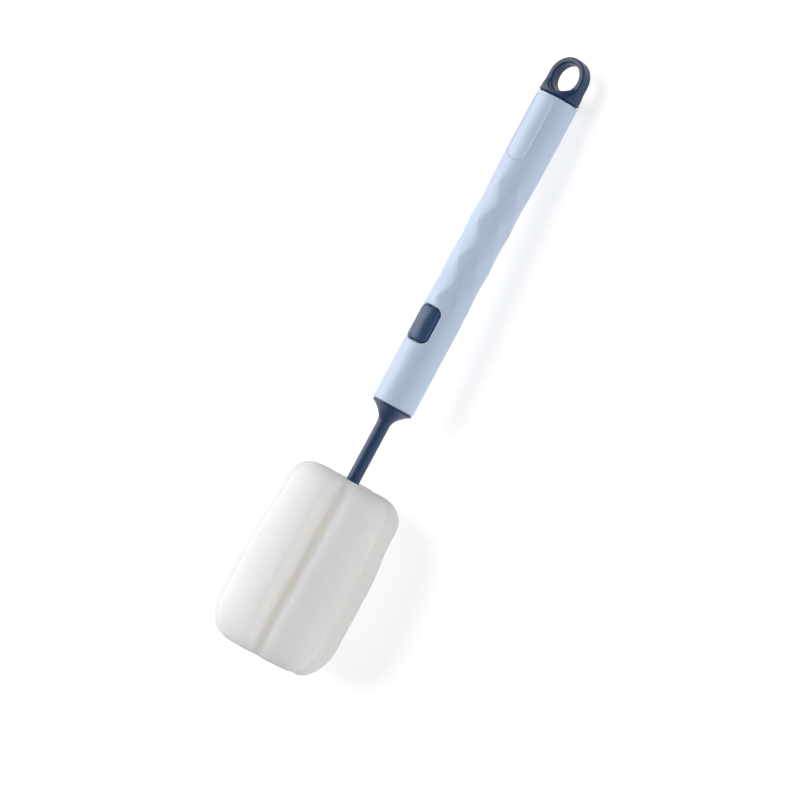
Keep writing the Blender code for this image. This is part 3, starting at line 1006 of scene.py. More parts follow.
# How the diamonds are worked out at each point (x, y, z) of a tube. Each row gives the name
# of a value, its node, its operation, and the names or numbers that go into it.
GRIP_SUMS: tuple[tuple[Any, ...], ...] = (
    # Where the point lies, in columns round the tube and in rows from the first one down
    ("front", SUM, "MULTIPLY", "y", -1.0),
    ("turn", SUM, "ARCTAN2", "x", "front"),
    ("step", SUM, "DIVIDE", math.tau, "Columns"),
    ("column", SUM, "DIVIDE", "turn", "step"),
    ("fall", SUM, "SUBTRACT", "First Row", "z"),
    ("row", SUM, "DIVIDE", "fall", "Pitch"),
    # Where it lies in its diamond: from -1 to 1 along each pair of edges
    ("column and row", SUM, "ADD", "column", "row"),
    ("falling", SUM, "MULTIPLY", "column and row", 0.5),
    ("falling part", SUM, "FRACT", "falling"),
    ("across", SUM, "MULTIPLY_ADD", "falling part", 2.0, -1.0),
    ("column less row", SUM, "SUBTRACT", "column", "row"),
    ("rising", SUM, "MULTIPLY", "column less row", 0.5),
    ("rising part", SUM, "FRACT", "rising"),
    ("along", SUM, "MULTIPLY_ADD", "rising part", 2.0, -1.0),
    # The saddle between the diamond's corners, for a tube of radius 1
    ("cosine", SUM, "COSINE", "step"),
    ("sagitta", SUM, "MULTIPLY_ADD", "cosine", -0.5, 0.5),
    ("twist", SUM, "MULTIPLY_ADD", "across", "along", 1.0),
    ("sunk", SUM, "MULTIPLY", "sagitta", "twist"),
    ("forward", SUM, "SUBTRACT", 1.0, "sunk"),
    ("sine", SUM, "SINE", "step"),
    ("half chord", SUM, "MULTIPLY", "sine", 0.5),
    ("slant", SUM, "ADD", "across", "along"),
    ("sideways", SUM, "MULTIPLY", "half chord", "slant"),
    ("flat", VECTOR, None, "forward", "sideways"),
    ("reach", LENGTH, "LENGTH", "flat"),
    ("short", SUM, "SUBTRACT", 1.0, "reach"),
    ("share", SUM, "DIVIDE", "short", "sagitta"),
    # The fade above the first row and below the last
    ("above", SUM, "MULTIPLY", "row", -1.0),
    ("below", SUM, "SUBTRACT", "row", "Rows"),
    ("outer", SUM, "MAXIMUM", "above", "below"),
    ("beyond", SUM, "MAXIMUM", "outer", 0.0),
    ("distance", SUM, "MULTIPLY", "beyond", "Pitch"),
    ("faded", SUM, "DIVIDE", "distance", "Fade"),
    ("left over", SUM, "SUBTRACT", 1.0, "faded"),
    ("kept", SUM, "MAXIMUM", "left over", 0.0),
    ("faded share", SUM, "MULTIPLY", "share", "kept"),
    ("depth", SUM, "MULTIPLY", "faded share", "Dip"),
    # Only the tube's outer round is drawn in
    ("level", VECTOR, None, "x", "y"),
    ("radius", LENGTH, "LENGTH", "level"),
    ("skin", SUM, "SUBTRACT", "Round", WELD),
    ("outside", SUM, "GREATER_THAN", "radius", "skin"),
    ("outer depth", SUM, "MULTIPLY", "depth", "outside"),
    ("drawn in", SUM, "MULTIPLY", "outer depth", -1.0),
    # A stripe along the ridges, where hands rub
    ("far across", SUM, "ABSOLUTE", "across"),
    ("far along", SUM, "ABSOLUTE", "along"),
    ("far", SUM, "MAXIMUM", "far across", "far along"),
    ("from edge", SUM, "SUBTRACT", 1.0, "far"),
    ("near edge", SUM, "DIVIDE", "from edge", "Ridge Width"),
    ("on edge", SUM, "SUBTRACT", 1.0, "near edge"),
    ("stripe", SUM, "MAXIMUM", "on edge", 0.0),
    ("kept stripe", SUM, "MULTIPLY", "stripe", "kept"),
    ("ridge", SUM, "MULTIPLY", "kept stripe", "outside"),
)


@dataclass
class FacetedGrip:
    """The diamonds of the grip, drawn by geometry nodes.

    Corner points stand on the tube's round, in columns and rows like a net. Each
    diamond is a saddle between four of them, so that it meets its neighbours in
    straight ridges. Above the first row and below the last, the diamonds fade out.

    Attributes:
        columns: Number of columns round the tube.
        rows: Number of rows of half diamonds.
        pitch: Height of a row.
        dip: Depth of a diamond's middle below the round.
        fade: Height over which the diamonds fade out.
        below_top: Distance from the tube's top to the first row of corner points.
        cells: Mesh cells to a row and to a column.
        softness: Rounds of blurring that turn the ridges' edge into a small round.
        ridge_width: Width of a ridge's rubbed stripe, as a share of a diamond.
    """

    columns: int = 12
    rows: int = 6
    pitch: float = 8.7 * MM
    dip: float = 0.55 * MM
    fade: float = 6.5 * MM
    below_top: float = 40.0 * MM
    cells: int = 16
    softness: int = 2
    ridge_width: float = 0.12

    def heights(self, top: float) -> list[float]:
        """Heights of the mesh's rows over the grip, from the top down.

        Args:
            top: Height of the first row of corner points.

        Returns:
            The heights.
        """
        cell = self.pitch / self.cells
        fading = math.ceil(self.fade / cell)
        return [top - cell * i for i in range(-fading, self.rows * self.cells + fading + 1)]

    def tree(self) -> bpy.types.NodeTree:
        """Build the node tree that draws a tube's round in to the diamonds.

        Returns:
            The tree. Its inputs are named for the sizes.
        """
        sizes = ("Round", "Columns", "Rows", "Pitch", "First Row", "Dip", "Fade", "Ridge Width")
        inputs = {name: "Float" for name in sizes}
        tree = new_geometry_tree("faceted_grip", {**inputs, "Softness": "Int"})
        given = add_node(tree, "NodeGroupInput").outputs
        spot = add_node(tree, "GeometryNodeInputPosition").outputs[0]
        parts = add_node(tree, "ShaderNodeSeparateXYZ", None, {0: spot}).outputs
        known = dict(zip("xyz", parts)) | {name: given[name] for name in sizes}
        for name, kind, operation, *terms in GRIP_SUMS:
            node = add_node(
                tree,
                kind,
                {"operation": operation} if operation else None,
                {number: known.get(term, term) for number, term in enumerate(terms)},
            )
            known[name] = next(socket for socket in node.outputs if socket.enabled)
        soft = add_node(
            tree,
            "GeometryNodeBlurAttribute",
            {"data_type": "FLOAT"},
            {"Value": known["drawn in"], "Iterations": given["Softness"]},
        )
        outwards = add_node(
            tree, "ShaderNodeVectorMath", {"operation": "NORMALIZE"}, {0: known["level"]}
        )
        offset = add_node(
            tree,
            "ShaderNodeVectorMath",
            {"operation": "SCALE"},
            {0: outwards.outputs[0], "Scale": soft.outputs[0]},
        )
        marked = add_node(
            tree,
            "GeometryNodeStoreNamedAttribute",
            {"data_type": "FLOAT", "domain": "POINT"},
            {"Geometry": given["Geometry"], "Name": "ridge", "Value": known["ridge"]},
        )
        moved = add_node(
            tree,
            "GeometryNodeSetPosition",
            None,
            {"Geometry": marked.outputs[0], "Offset": offset.outputs[0]},
        )
        end_tree(tree, moved.outputs[0], given["Material"])
        return tree

    def press_into(self, obj: bpy.types.Object, radius: float, top: float, finish: Finish) -> None:
        """Draw the diamonds into a tube.

        Args:
            obj: The upright tube, with mesh rows at this grip's heights.
            radius: The tube's radius.
            top: Height of the first row of corner points.
            finish: The tube's finish.
        """
        values = {
            "Round": radius,
            "Columns": float(self.columns),
            "Rows": float(self.rows),
            "Pitch": self.pitch,
            "First Row": top,
            "Dip": self.dip,
            "Fade": self.fade,
            "Ridge Width": self.ridge_width,
            "Softness": self.softness,
            "Material": finish.shared(),
        }
        run_tree(obj, self.tree(), values)


@dataclass
class RaisedBorder:
    """The plain raised line on the handle's front, a long rounded outline below the cap.

    Attributes:
        half_width: Half of the outline's width, measured round the tube.
        below_top: Distance from the tube's top to the outline.
        height: The outline's height.
        corner: Radius of its lower corners.
        top_corner: Radius of its upper corners.
        bead: Radius of the bead that forms the line.
        proud: How far the bead stands out of the tube.
        sides: Number of sides of the bead.
    """

    half_width: float = 5.0 * MM
    below_top: float = 1.5 * MM
    height: float = 28.0 * MM
    corner: float = 4.2 * MM
    top_corner: float = 1.4 * MM
    bead: float = 0.4 * MM
    proud: float = 0.26 * MM
    sides: int = 20

    def tree(self) -> bpy.types.NodeTree:
        """Build the node tree that sweeps a round bead along a line.

        Returns:
            The tree.
        """
        tree = new_geometry_tree("raised_border", {"Bead": "Float", "Sides": "Int"})
        given = add_node(tree, "NodeGroupInput").outputs
        line = add_node(tree, "GeometryNodeMeshToCurve", None, {"Mesh": given["Geometry"]})
        bead = add_node(
            tree,
            "GeometryNodeCurvePrimitiveCircle",
            {"mode": "RADIUS"},
            {"Resolution": given["Sides"], "Radius": given["Bead"]},
        )
        swept = add_node(
            tree,
            "GeometryNodeCurveToMesh",
            None,
            {"Curve": line.outputs[0], "Profile Curve": bead.outputs[0]},
        )
        end_tree(tree, swept.outputs[0], given["Material"])
        return tree

    def build(self, radius: float, top: float, finish: Finish) -> bpy.types.Object:
        """Lay the line on a tube's round and sweep the bead along it.

        Args:
            radius: The tube's radius.
            top: Height of the tube's top.
            finish: The tube's finish.

        Returns:
            The border, upright.
        """
        centre = top - self.below_top - self.height / 2.0
        depth = radius - self.bead + self.proud
        line = []
        outline = rounded_rectangle(
            self.half_width, self.height / 2.0, self.corner, self.top_corner
        )
        for across, up in outline:
            angle = across / radius
            line.append((depth * math.sin(angle), -depth * math.cos(angle), centre + up))
        mesh = bpy.data.meshes.new("label_border")
        mesh.from_pydata(line, [(i, (i + 1) % len(line)) for i in range(len(line))], [])
        border = new_object("label_border", mesh)
        values = {"Bead": self.bead, "Sides": self.sides, "Material": finish.shared()}
        run_tree(border, self.tree(), values)
        rubbed = border.data.attributes.new("ridge", "FLOAT", "POINT")
        rubbed.data.foreach_set("value", [1.0] * len(border.data.vertices))
        border.data.shade_smooth()
        return border


@dataclass
class Window:
    """The button's window in the tube.

    Attributes:
        half_width: Half of its width.
        half_height: Half of its height.
        corner: Radius of its corners.
        lip: Radius of the round along its outer edge.
        lip_turn: How far that round turns, in degrees, before it leaves the tube.
        lip_steps: Number of pieces in it.
        floor: Radius of the round that the cutter starts from, inside the bore.
    """

    half_width: float = 5.2 * MM
    half_height: float = 7.95 * MM
    corner: float = 3.1 * MM
    lip: float = 0.75 * MM
    lip_turn: float = 72.0
    lip_steps: int = 6
    floor: float = 6.0 * MM

    def cutter(self, radius: float, height: float) -> bpy.types.Object:
        """Make the window's cutter, which flares where it leaves the tube.

        Args:
            radius: The tube's radius.
            height: The window's middle.

        Returns:
            The cutter.
        """
        levels = [(0.0, self.floor)]
        for step in range(self.lip_steps + 1):
            angle = math.radians(self.lip_turn * step / self.lip_steps)
            wider = self.lip * (1.0 - math.cos(angle))
            levels.append((wider, radius - self.lip * (1.0 - math.sin(angle))))
        wider, depth = levels[-1]
        levels.append((wider + self.lip * math.sin(angle), depth + self.lip * math.cos(angle)))
        rings = []
        for wider, depth in levels:
            outline = rounded_rectangle(
                self.half_width + wider, self.half_height + wider, self.corner + wider
            )
            rings.append([(x, -math.sqrt(depth**2 - x**2), height + z) for x, z in outline])
        inside = (0.0, -self.floor + self.corner, height)
        outside = (0.0, -radius - self.corner, height)
        return lofted("window_cutter", rings, inside, outside)


@dataclass
class Handle:
    """The handle's tube.

    Attributes:
        radius: Outer radius.
        bore: Inner radius.
        rim: Size of the round on its end edges.
        around: Number of mesh columns round it, a multiple of the grip's columns.
        coarse: Largest mesh row where the tube is plain.
        fine: Mesh rows round the window.
        crease: Angle in degrees from which an edge is sharp.
        grip: Its faceted grip.
        border: Its raised border.
        window: The button's window.
    """

    radius: float = 9.0 * MM
    bore: float = 7.2 * MM
    rim: float = 0.55 * MM
    around: int = 192
    coarse: float = 1.2 * MM
    fine: float = 0.5 * MM
    crease: float = 38.0
    grip: FacetedGrip = field(default_factory=FacetedGrip)
    border: RaisedBorder = field(default_factory=RaisedBorder)
    window: Window = field(default_factory=Window)

    def build(self, place: BrushPlace) -> None:
        """Build the tube and its border and lay them in place.

        Args:
            place: Where the brush lies.
        """
        span = place.span("handle_tube")
        base = span.low.z
        top = span.high.z
        first_row = top - self.grip.below_top
        middle = place.span("release_button").middle.z
        grip_rows = self.grip.heights(first_row)
        below_window = middle - 2.0 * self.window.half_height
        upper = steps_between(top - 2.0 * self.rim, grip_rows[0], self.coarse)
        lower = steps_between(grip_rows[-1], below_window, self.fine)
        plain = steps_between(below_window, base + 2.0 * self.rim, self.coarse)
        rows = upper + grip_rows[:-1] + lower + plain
        outer = softened(
            [
                (self.bore + self.rim, top, 0.0),
                (self.radius, top, self.rim),
                (self.radius, top - 2.0 * self.rim, 0.0),
            ]
        )
        foot = softened(
            [
                (self.radius, base + 2.0 * self.rim, 0.0),
                (self.radius, base, self.rim),
                (self.bore + self.rim, base, 0.0),
            ]
        )
        inner = [(self.bore, base + self.rim), (self.bore, top - self.rim)]
        profile = outer[:-1] + [(self.radius, height) for height in rows] + foot + inner
        tube = turned("handle_shell", profile, self.around, ring=True)
        self.grip.press_into(tube, self.radius, first_row, PALE_BLUE)
        combine(tube, self.window.cutter(self.radius, middle), Mix.CUT)
        smooth(tube, self.crease)
        place.lay(tube, Body.HANDLE, PALE_BLUE, ["handle_tube"])
        border = self.border.build(self.radius, top, PALE_BLUE)
        place.lay(border, Body.HANDLE, PALE_BLUE)


@dataclass
class HangingCap:
    """The end cap: a ring plate that grows out of a round base, with a spigot below.

    Attributes:
        radius: Radius of the base, the tube's own.
        rim: Size of the round on the base's edge.
        rim_insets: Insets of that round's sections, as shares of its size.
        rim_height: Height at which the base begins to narrow.
        flare_height: Height over which the base narrows into the plate.
        flare_curve: How fast it narrows.
        flare_steps: Number of sections over that height.
        corners: Number of corners of each section.
        squareness: How much squarer than a round the section becomes.
        collar: Radius of the step between the base and the tube's end.
        collar_height: Height of that step above the joint, which lies in shadow.
        thickness: The plate's thickness.
        ring: Outer radius of the ring.
        hole: Radius of its hole.
        edge: Size of the round on the plate's edges.
        spigot: Radius of the spigot.
        spigot_wall: Its wall.
        spigot_around: Its number of sides.
        arch_steps: Number of pieces in the plate's arch.
        bevel_steps: Fineness of the round on the plate's edges.
        hole_around: Number of sides of the hole.
        edge_steps: Number of pieces in the round at the hole's edges.
        voxel: Cell of the remesh that blends the plate into the base.
        blend_rounds: Rounds of smoothing after it.
    """

    radius: float = 9.0 * MM
    rim: float = 0.25 * MM
    rim_insets: tuple[float, ...] = (1.0, 0.3, 0.0)
    rim_height: float = 0.7 * MM
    flare_height: float = 5.6 * MM
    flare_curve: float = 1.35
    flare_steps: int = 28
    corners: int = 96
    squareness: float = 6.0
    collar: float = 8.1 * MM
    collar_height: float = 0.35 * MM
    thickness: float = 5.4 * MM
    ring: float = 8.85 * MM
    hole: float = 6.25 * MM
    edge: float = 0.6 * MM
    spigot: float = 6.9 * MM
    spigot_wall: float = 1.6 * MM
    spigot_around: int = 128
    arch_steps: int = 64
    bevel_steps: int = 5
    hole_around: int = 96
    edge_steps: int = 8
    voxel: float = 0.19 * MM
    blend_rounds: int = 30

    def base(self, seat: float, foot: float) -> bpy.types.Object:
        """Loft the base: a round at the tube that narrows into the plate's flat section.

        Args:
            seat: Height of the base's underside.
            foot: Height of the tube's end.

        Returns:
            The base.
        """
        # Height, half width, half depth, and the outline's power, which is 2 for a round
        sections = [(foot, self.collar, self.collar, 2.0), (seat, self.collar, self.collar, 2.0)]
        for share in self.rim_insets:
            inset = self.rim * share
            width = self.radius - inset
            sections.append((seat + self.rim - inset, width, width, 2.0))
        for step in range(self.flare_steps + 1):
            share = step / self.flare_steps
            width = self.radius + (self.ring - self.radius) * share
            slope = (1.0 - share) ** self.flare_curve
            depth = self.thickness / 2.0 + (self.radius - self.thickness / 2.0) * slope
            height = seat + self.rim_height - self.collar_height + self.flare_height * share
            sections.append((height, width, depth, 2.0 + self.squareness * share**2))
        rings = []
        for height, width, depth, power in sections:
            ring = []
            for corner in range(self.corners):
                angle = math.tau * (corner + 0.5) / self.corners
                across = math.cos(angle)
                along = math.sin(angle)
                x = width * math.copysign(abs(across) ** (2.0 / power), across)
                y = depth * math.copysign(abs(along) ** (2.0 / power), along)
                ring.append((x, y, height))
            rings.append(ring)
        return lofted("hanging_ring", rings, (0.0, 0.0, foot), (0.0, 0.0, sections[-1][0]))

    def plug(self, seat: float, foot: float) -> bpy.types.Object:
        """Turn the spigot that holds the cap in the tube.

        Args:
            seat: Height of the base's underside.
            foot: Height of the spigot's end.

        Returns:
            The spigot.
        """
        corners = [
            (0.0, seat + self.rim, 0.0),
            (self.spigot, seat + self.rim, 0.0),
            (self.spigot, foot, self.rim),
            (self.spigot - self.spigot_wall, foot, self.rim),
            (self.spigot - self.spigot_wall, seat - self.spigot_wall, self.rim),
            (0.0, seat - self.spigot_wall, 0.0),
        ]
        return turned("spigot", softened(corners), self.spigot_around)

    def plate(self, seat: float, top: float) -> bpy.types.Object:
        """Make the ring's plate: an arch with rounded edges.

        Args:
            seat: Height of the base's underside.
            top: Height of the ring's top.

        Returns:
            The plate.
        """
        radius = self.ring - self.edge
        outline = arc((0.0, top - self.ring), radius, 0.0, 180.0, self.arch_steps)
        outline += [(-radius, seat + 2.0 * self.edge), (radius, seat + 2.0 * self.edge)]
        curve = bpy.data.curves.new("plate", "CURVE")
        curve.dimensions = "2D"
        curve.fill_mode = "BOTH"
        curve.extrude = self.thickness / 2.0 - self.edge
        curve.bevel_depth = self.edge
        curve.bevel_resolution = self.bevel_steps
        spline = curve.splines.new("POLY")
        spline.points.add(len(outline) - 1)
        for point, (x, z) in zip(spline.points, outline):
            point.co = (x, z, 0.0, 1.0)
        spline.use_cyclic_u = True
        drawn = new_object("plate_curve", curve)
        depsgraph = bpy.context.evaluated_depsgraph_get()
        mesh = bpy.data.meshes.new_from_object(drawn.evaluated_get(depsgraph))
        bpy.data.objects.remove(drawn, do_unlink=True)
        mesh.transform(Matrix.Rotation(math.radians(90.0), 4, "X"))
        merge_points(mesh)
        return new_object("plate", mesh)

    def hole_cutter(self, top: float) -> bpy.types.Object:
        """Make the hole's cutter: a spool, rounded at both faces of the plate.

        Args:
            top: Height of the ring's top.

        Returns:
            The cutter.
        """
        face = self.thickness / 2.0
        wide = self.hole + self.edge
        half = [(0.0, 2.0 * self.radius), (wide, 2.0 * self.radius)]
        for step in range(self.edge_steps + 1):
            angle = math.radians(90.0) * step / self.edge_steps
            radius = wide - self.edge * math.sin(angle)
            half.append((radius, face - self.edge * (1.0 - math.cos(angle))))
        profile = half + [(radius, -height) for radius, height in reversed(half)]
        cutter = turned("hole_cutter", profile, self.hole_around)
        cutter.data.transform(Matrix.Rotation(math.radians(90.0), 4, "X"))
        cutter.data.transform(Matrix.Translation((0.0, 0.0, top - self.ring)))
        return cutter

    def build(self, place: BrushPlace) -> None:
        """Build the cap and lay it in place.

        Args:
            place: Where the brush lies.
        """
        span = place.span("hanging_cap")
        end = place.span("handle_tube").high.z
        seat = end + JOINT_GAP + self.collar_height
        cap = self.base(seat, end + CLEARANCE)
        combine(cap, self.plug(seat, span.low.z), Mix.JOIN)
        combine(cap, self.plate(seat, span.high.z), Mix.JOIN)
        combine(cap, self.hole_cutter(span.high.z), Mix.CUT)
        even_out(cap, self.voxel, self.blend_rounds)
        cap.data.shade_smooth()
        place.lay(cap, Body.HANDLE, NAVY_CAP, ["hanging_cap"])


@dataclass
class Latch:
    """The latch inside the handle: a sleeve that guides the plug, and its spring wire.

    The pressed button pushes the wire's legs aside. They bend between the wire's hooks and
    the button's ribs, in slots that leave them room, and lift the bar out of the plug.

    Attributes:
        leg: Distance of each leg from the middle.
        setback: How far the legs lie in front of the axis.
        travel: How far the button pushes them.
        room: The wire's radius and its clearance.
        slot_corner: Radius of the slots' corners.
        hooks: Height of the wire's hooks above the button's middle.
        turn: Radius of the wire's bends.
        ribs: Height above the button's middle from which the legs follow its ribs.
        bar: Distance of the wire's bar below the button's middle.
        cell: Distance between the sections that let the legs bend.
        sleeve_crease: Angle in degrees from which an edge of the sleeve is sharp.
        wire_crease: The same for the wire.
    """

    leg: float = 4.6 * MM
    setback: float = 2.4 * MM
    travel: float = 1.6 * MM
    room: float = 0.8 * MM
    slot_corner: float = 0.1 * MM
    hooks: float = 14.5 * MM
    turn: float = 1.0 * MM
    ribs: float = 4.5 * MM
    bar: float = 5.7 * MM
    cell: float = 0.8 * MM
    sleeve_crease: float = 30.0
    wire_crease: float = 60.0

    def slot(self, side: int, middle: float) -> bpy.types.Object:
        """Make the cutter of one leg's slot.

        Args:
            side: -1 for the left leg, 1 for the right.
            middle: Height of the button's middle.

        Returns:
            The cutter.
        """
        low = middle - self.bar - self.room
        high = middle + self.hooks + self.room
        across = side * self.leg
        inward = self.travel / 2.0 - self.setback
        outline = rounded_rectangle(self.room, self.room + self.travel / 2.0, self.slot_corner)
        rings = [[(across + x, inward + y, z) for x, y in outline] for z in (low, high)]
        return lofted("leg_slot", rings, (across, inward, low), (across, inward, high))

    def section_legs(self, wire: bpy.types.Object, middle: float) -> None:
        """Cut the legs' mesh into short sections, so that they can bend.

        Args:
            wire: The upright wire.
            middle: Height of the button's middle.
        """
        work = bmesh.new()
        work.from_mesh(wire.data)
        top = middle + self.hooks - self.turn
        foot = middle - self.bar + self.turn
        for height in steps_between(top, foot, self.cell):
            geometry = work.verts[:] + work.edges[:] + work.faces[:]
            bmesh.ops.bisect_plane(
                work, geom=geometry, plane_co=(0.0, 0.0, height), plane_no=(0.0, 0.0, 1.0)
            )
        work.to_mesh(wire.data)
        work.free()

    def build(self, place: BrushPlace) -> None:
        """Finish the frame's own sleeve and wire and lay them in place.

        Args:
            place: Where the brush lies.
        """
        middle = place.span("release_button").middle.z
        sleeve = place.copy_upright("latch_sleeve", "plug_sleeve")
        for side in (-1, 1):
            combine(sleeve, self.slot(side, middle), Mix.CUT)
        smooth(sleeve, self.sleeve_crease)
        place.lay(sleeve, Body.HANDLE, NATURAL_ACETAL, ["latch_sleeve"])
        wire = place.copy_upright("latch_wire", "latch_spring")
        self.section_legs(wire, middle)
        smooth(wire, self.wire_crease)
        bend = Bend(Body.BUTTON, middle + self.hooks - self.turn, middle + self.ribs)
        place.lay(wire, Body.HANDLE, BRIGHT_WIRE, ["latch_wire"], bend)


@dataclass
class ReleaseButton:
    """The push button: a crowned pad, a lip under the tube's wall and two ribs.

    Attributes:
        round: Radius of the tube's round, which the pad follows.
        half_width: Half of the pad's width.
        half_height: Half of the pad's height.
        corner: Radius of the pad's corners.
        edge: Size of the round along the pad's edge.
        edge_turn: How far that round turns, in degrees, before the crown begins.
        edge_steps: Number of pieces in it.
        crown: How far the pad's middle stands out.
        crown_curve: How flat the crown is in its middle.
        crown_steps: Number of outlines over it.
        lip: How far the lip reaches past the pad.
        lip_top: Radius of the lip's upper face.
        underside: Radius of the lip's lower face.
        under_shares: Sizes of the outlines over that face, as shares of the lip's.
        rib_offset: Distance of each rib from the middle.
        rib_half_width: Half of a rib's width.
        rib_half_length: Half of a rib's length.
        rib_foot: Distance of the ribs' ends from the axis.
        rib_corner: Radius of a rib's corners, and height of the bevel at its end.
        rib_bevel: Width of that bevel.
        crease: Angle in degrees from which an edge is sharp.
    """

    round: float = 9.0 * MM
    half_width: float = 4.75 * MM
    half_height: float = 7.5 * MM
    corner: float = 2.7 * MM
    edge: float = 0.9 * MM
    edge_turn: float = 66.0
    edge_steps: int = 6
    crown: float = 0.7 * MM
    crown_curve: float = 2.6
    crown_steps: int = 14
    lip: float = 0.8 * MM
    lip_top: float = 6.9 * MM
    underside: float = 6.0 * MM
    under_shares: tuple[float, ...] = (0.3, 0.6, 0.85, 1.0)
    rib_offset: float = 4.6 * MM
    rib_half_width: float = 0.5 * MM
    rib_half_length: float = 4.0 * MM
    rib_foot: float = 3.2 * MM
    rib_corner: float = 0.2 * MM
    rib_bevel: float = 0.15 * MM
    crease: float = 40.0

    def ring(self, inset: float, share: float, depth: float, height: float) -> list[Point]:
        """Lay one outline on a round.

        Args:
            inset: How far the outline lies inside the pad's own.
            share: How far it is drawn in towards the middle.
            depth: Radius of the round.
            height: Height of the button's middle.

        Returns:
            The outline's points.
        """
        outline = rounded_rectangle(
            self.half_width - inset, self.half_height - inset, self.corner - inset
        )
        drawn_in = [(x * share, z * share) for x, z in outline]
        return [(x, -math.sqrt(depth**2 - x**2), height + z) for x, z in drawn_in]

    def pad(self, height: float) -> bpy.types.Object:
        """Loft the pad and its lip.

        Args:
            height: Height of the button's middle.

        Returns:
            The pad.
        """
        rings = []
        for share in self.under_shares:
            rings.append(self.ring(-self.lip, share, self.underside, height))
        rings.append(self.ring(-self.lip, 1.0, self.lip_top, height))
        rings.append(self.ring(0.0, 1.0, self.lip_top, height))
        for step in range(self.edge_steps + 1):
            angle = math.radians(self.edge_turn) * step / self.edge_steps
            inset = self.edge * (1.0 - math.cos(angle))
            below = self.edge * (1.0 - math.sin(angle))
            rings.append(self.ring(inset, 1.0, self.round - below, height))
        for step in range(1, self.crown_steps):
            share = 1.0 - step / self.crown_steps
            rise = (self.crown + below) * (1.0 - share**self.crown_curve)
            rings.append(self.ring(inset, share, self.round - below + rise, height))
        under = (0.0, -self.underside, height)
        top = (0.0, -self.round - self.crown, height)
        return lofted("push_button", rings, under, top)

    def rib(self, side: int, height: float) -> bpy.types.Object:
        """Make one of the two ribs that press on the wire.

        Args:
            side: -1 for the left rib, 1 for the right.
            height: Height of the button's middle.

        Returns:
            The rib.
        """
        root = (self.underside + self.lip_top) / 2.0
        lift = math.sqrt(root**2 - self.rib_offset**2)
        outline = rounded_rectangle(self.rib_half_width, self.rib_half_length, self.rib_corner)
        centre = side * self.rib_offset
        bevel_top = self.rib_foot + self.rib_corner
        rings = []
        for inset, depth in ((0.0, lift), (0.0, bevel_top), (self.rib_bevel, self.rib_foot)):
            narrow = 1.0 - inset / self.rib_half_width
            rings.append([(centre + x * narrow, -depth, height + z) for x, z in outline])
        return lofted("rib", rings, (centre, -lift, height), (centre, -self.rib_foot, height))

    def build(self, place: BrushPlace) -> None:
        """Build the button and lay it in place.

        Args:
            place: Where the brush lies.
        """
        height = place.span("release_button").middle.z
        button = self.pad(height)
        for side in (-1, 1):
            combine(button, self.rib(side, height), Mix.JOIN)
        smooth(button, self.crease)
        place.lay(button, Body.BUTTON, NAVY_BUTTON, ["release_button"])


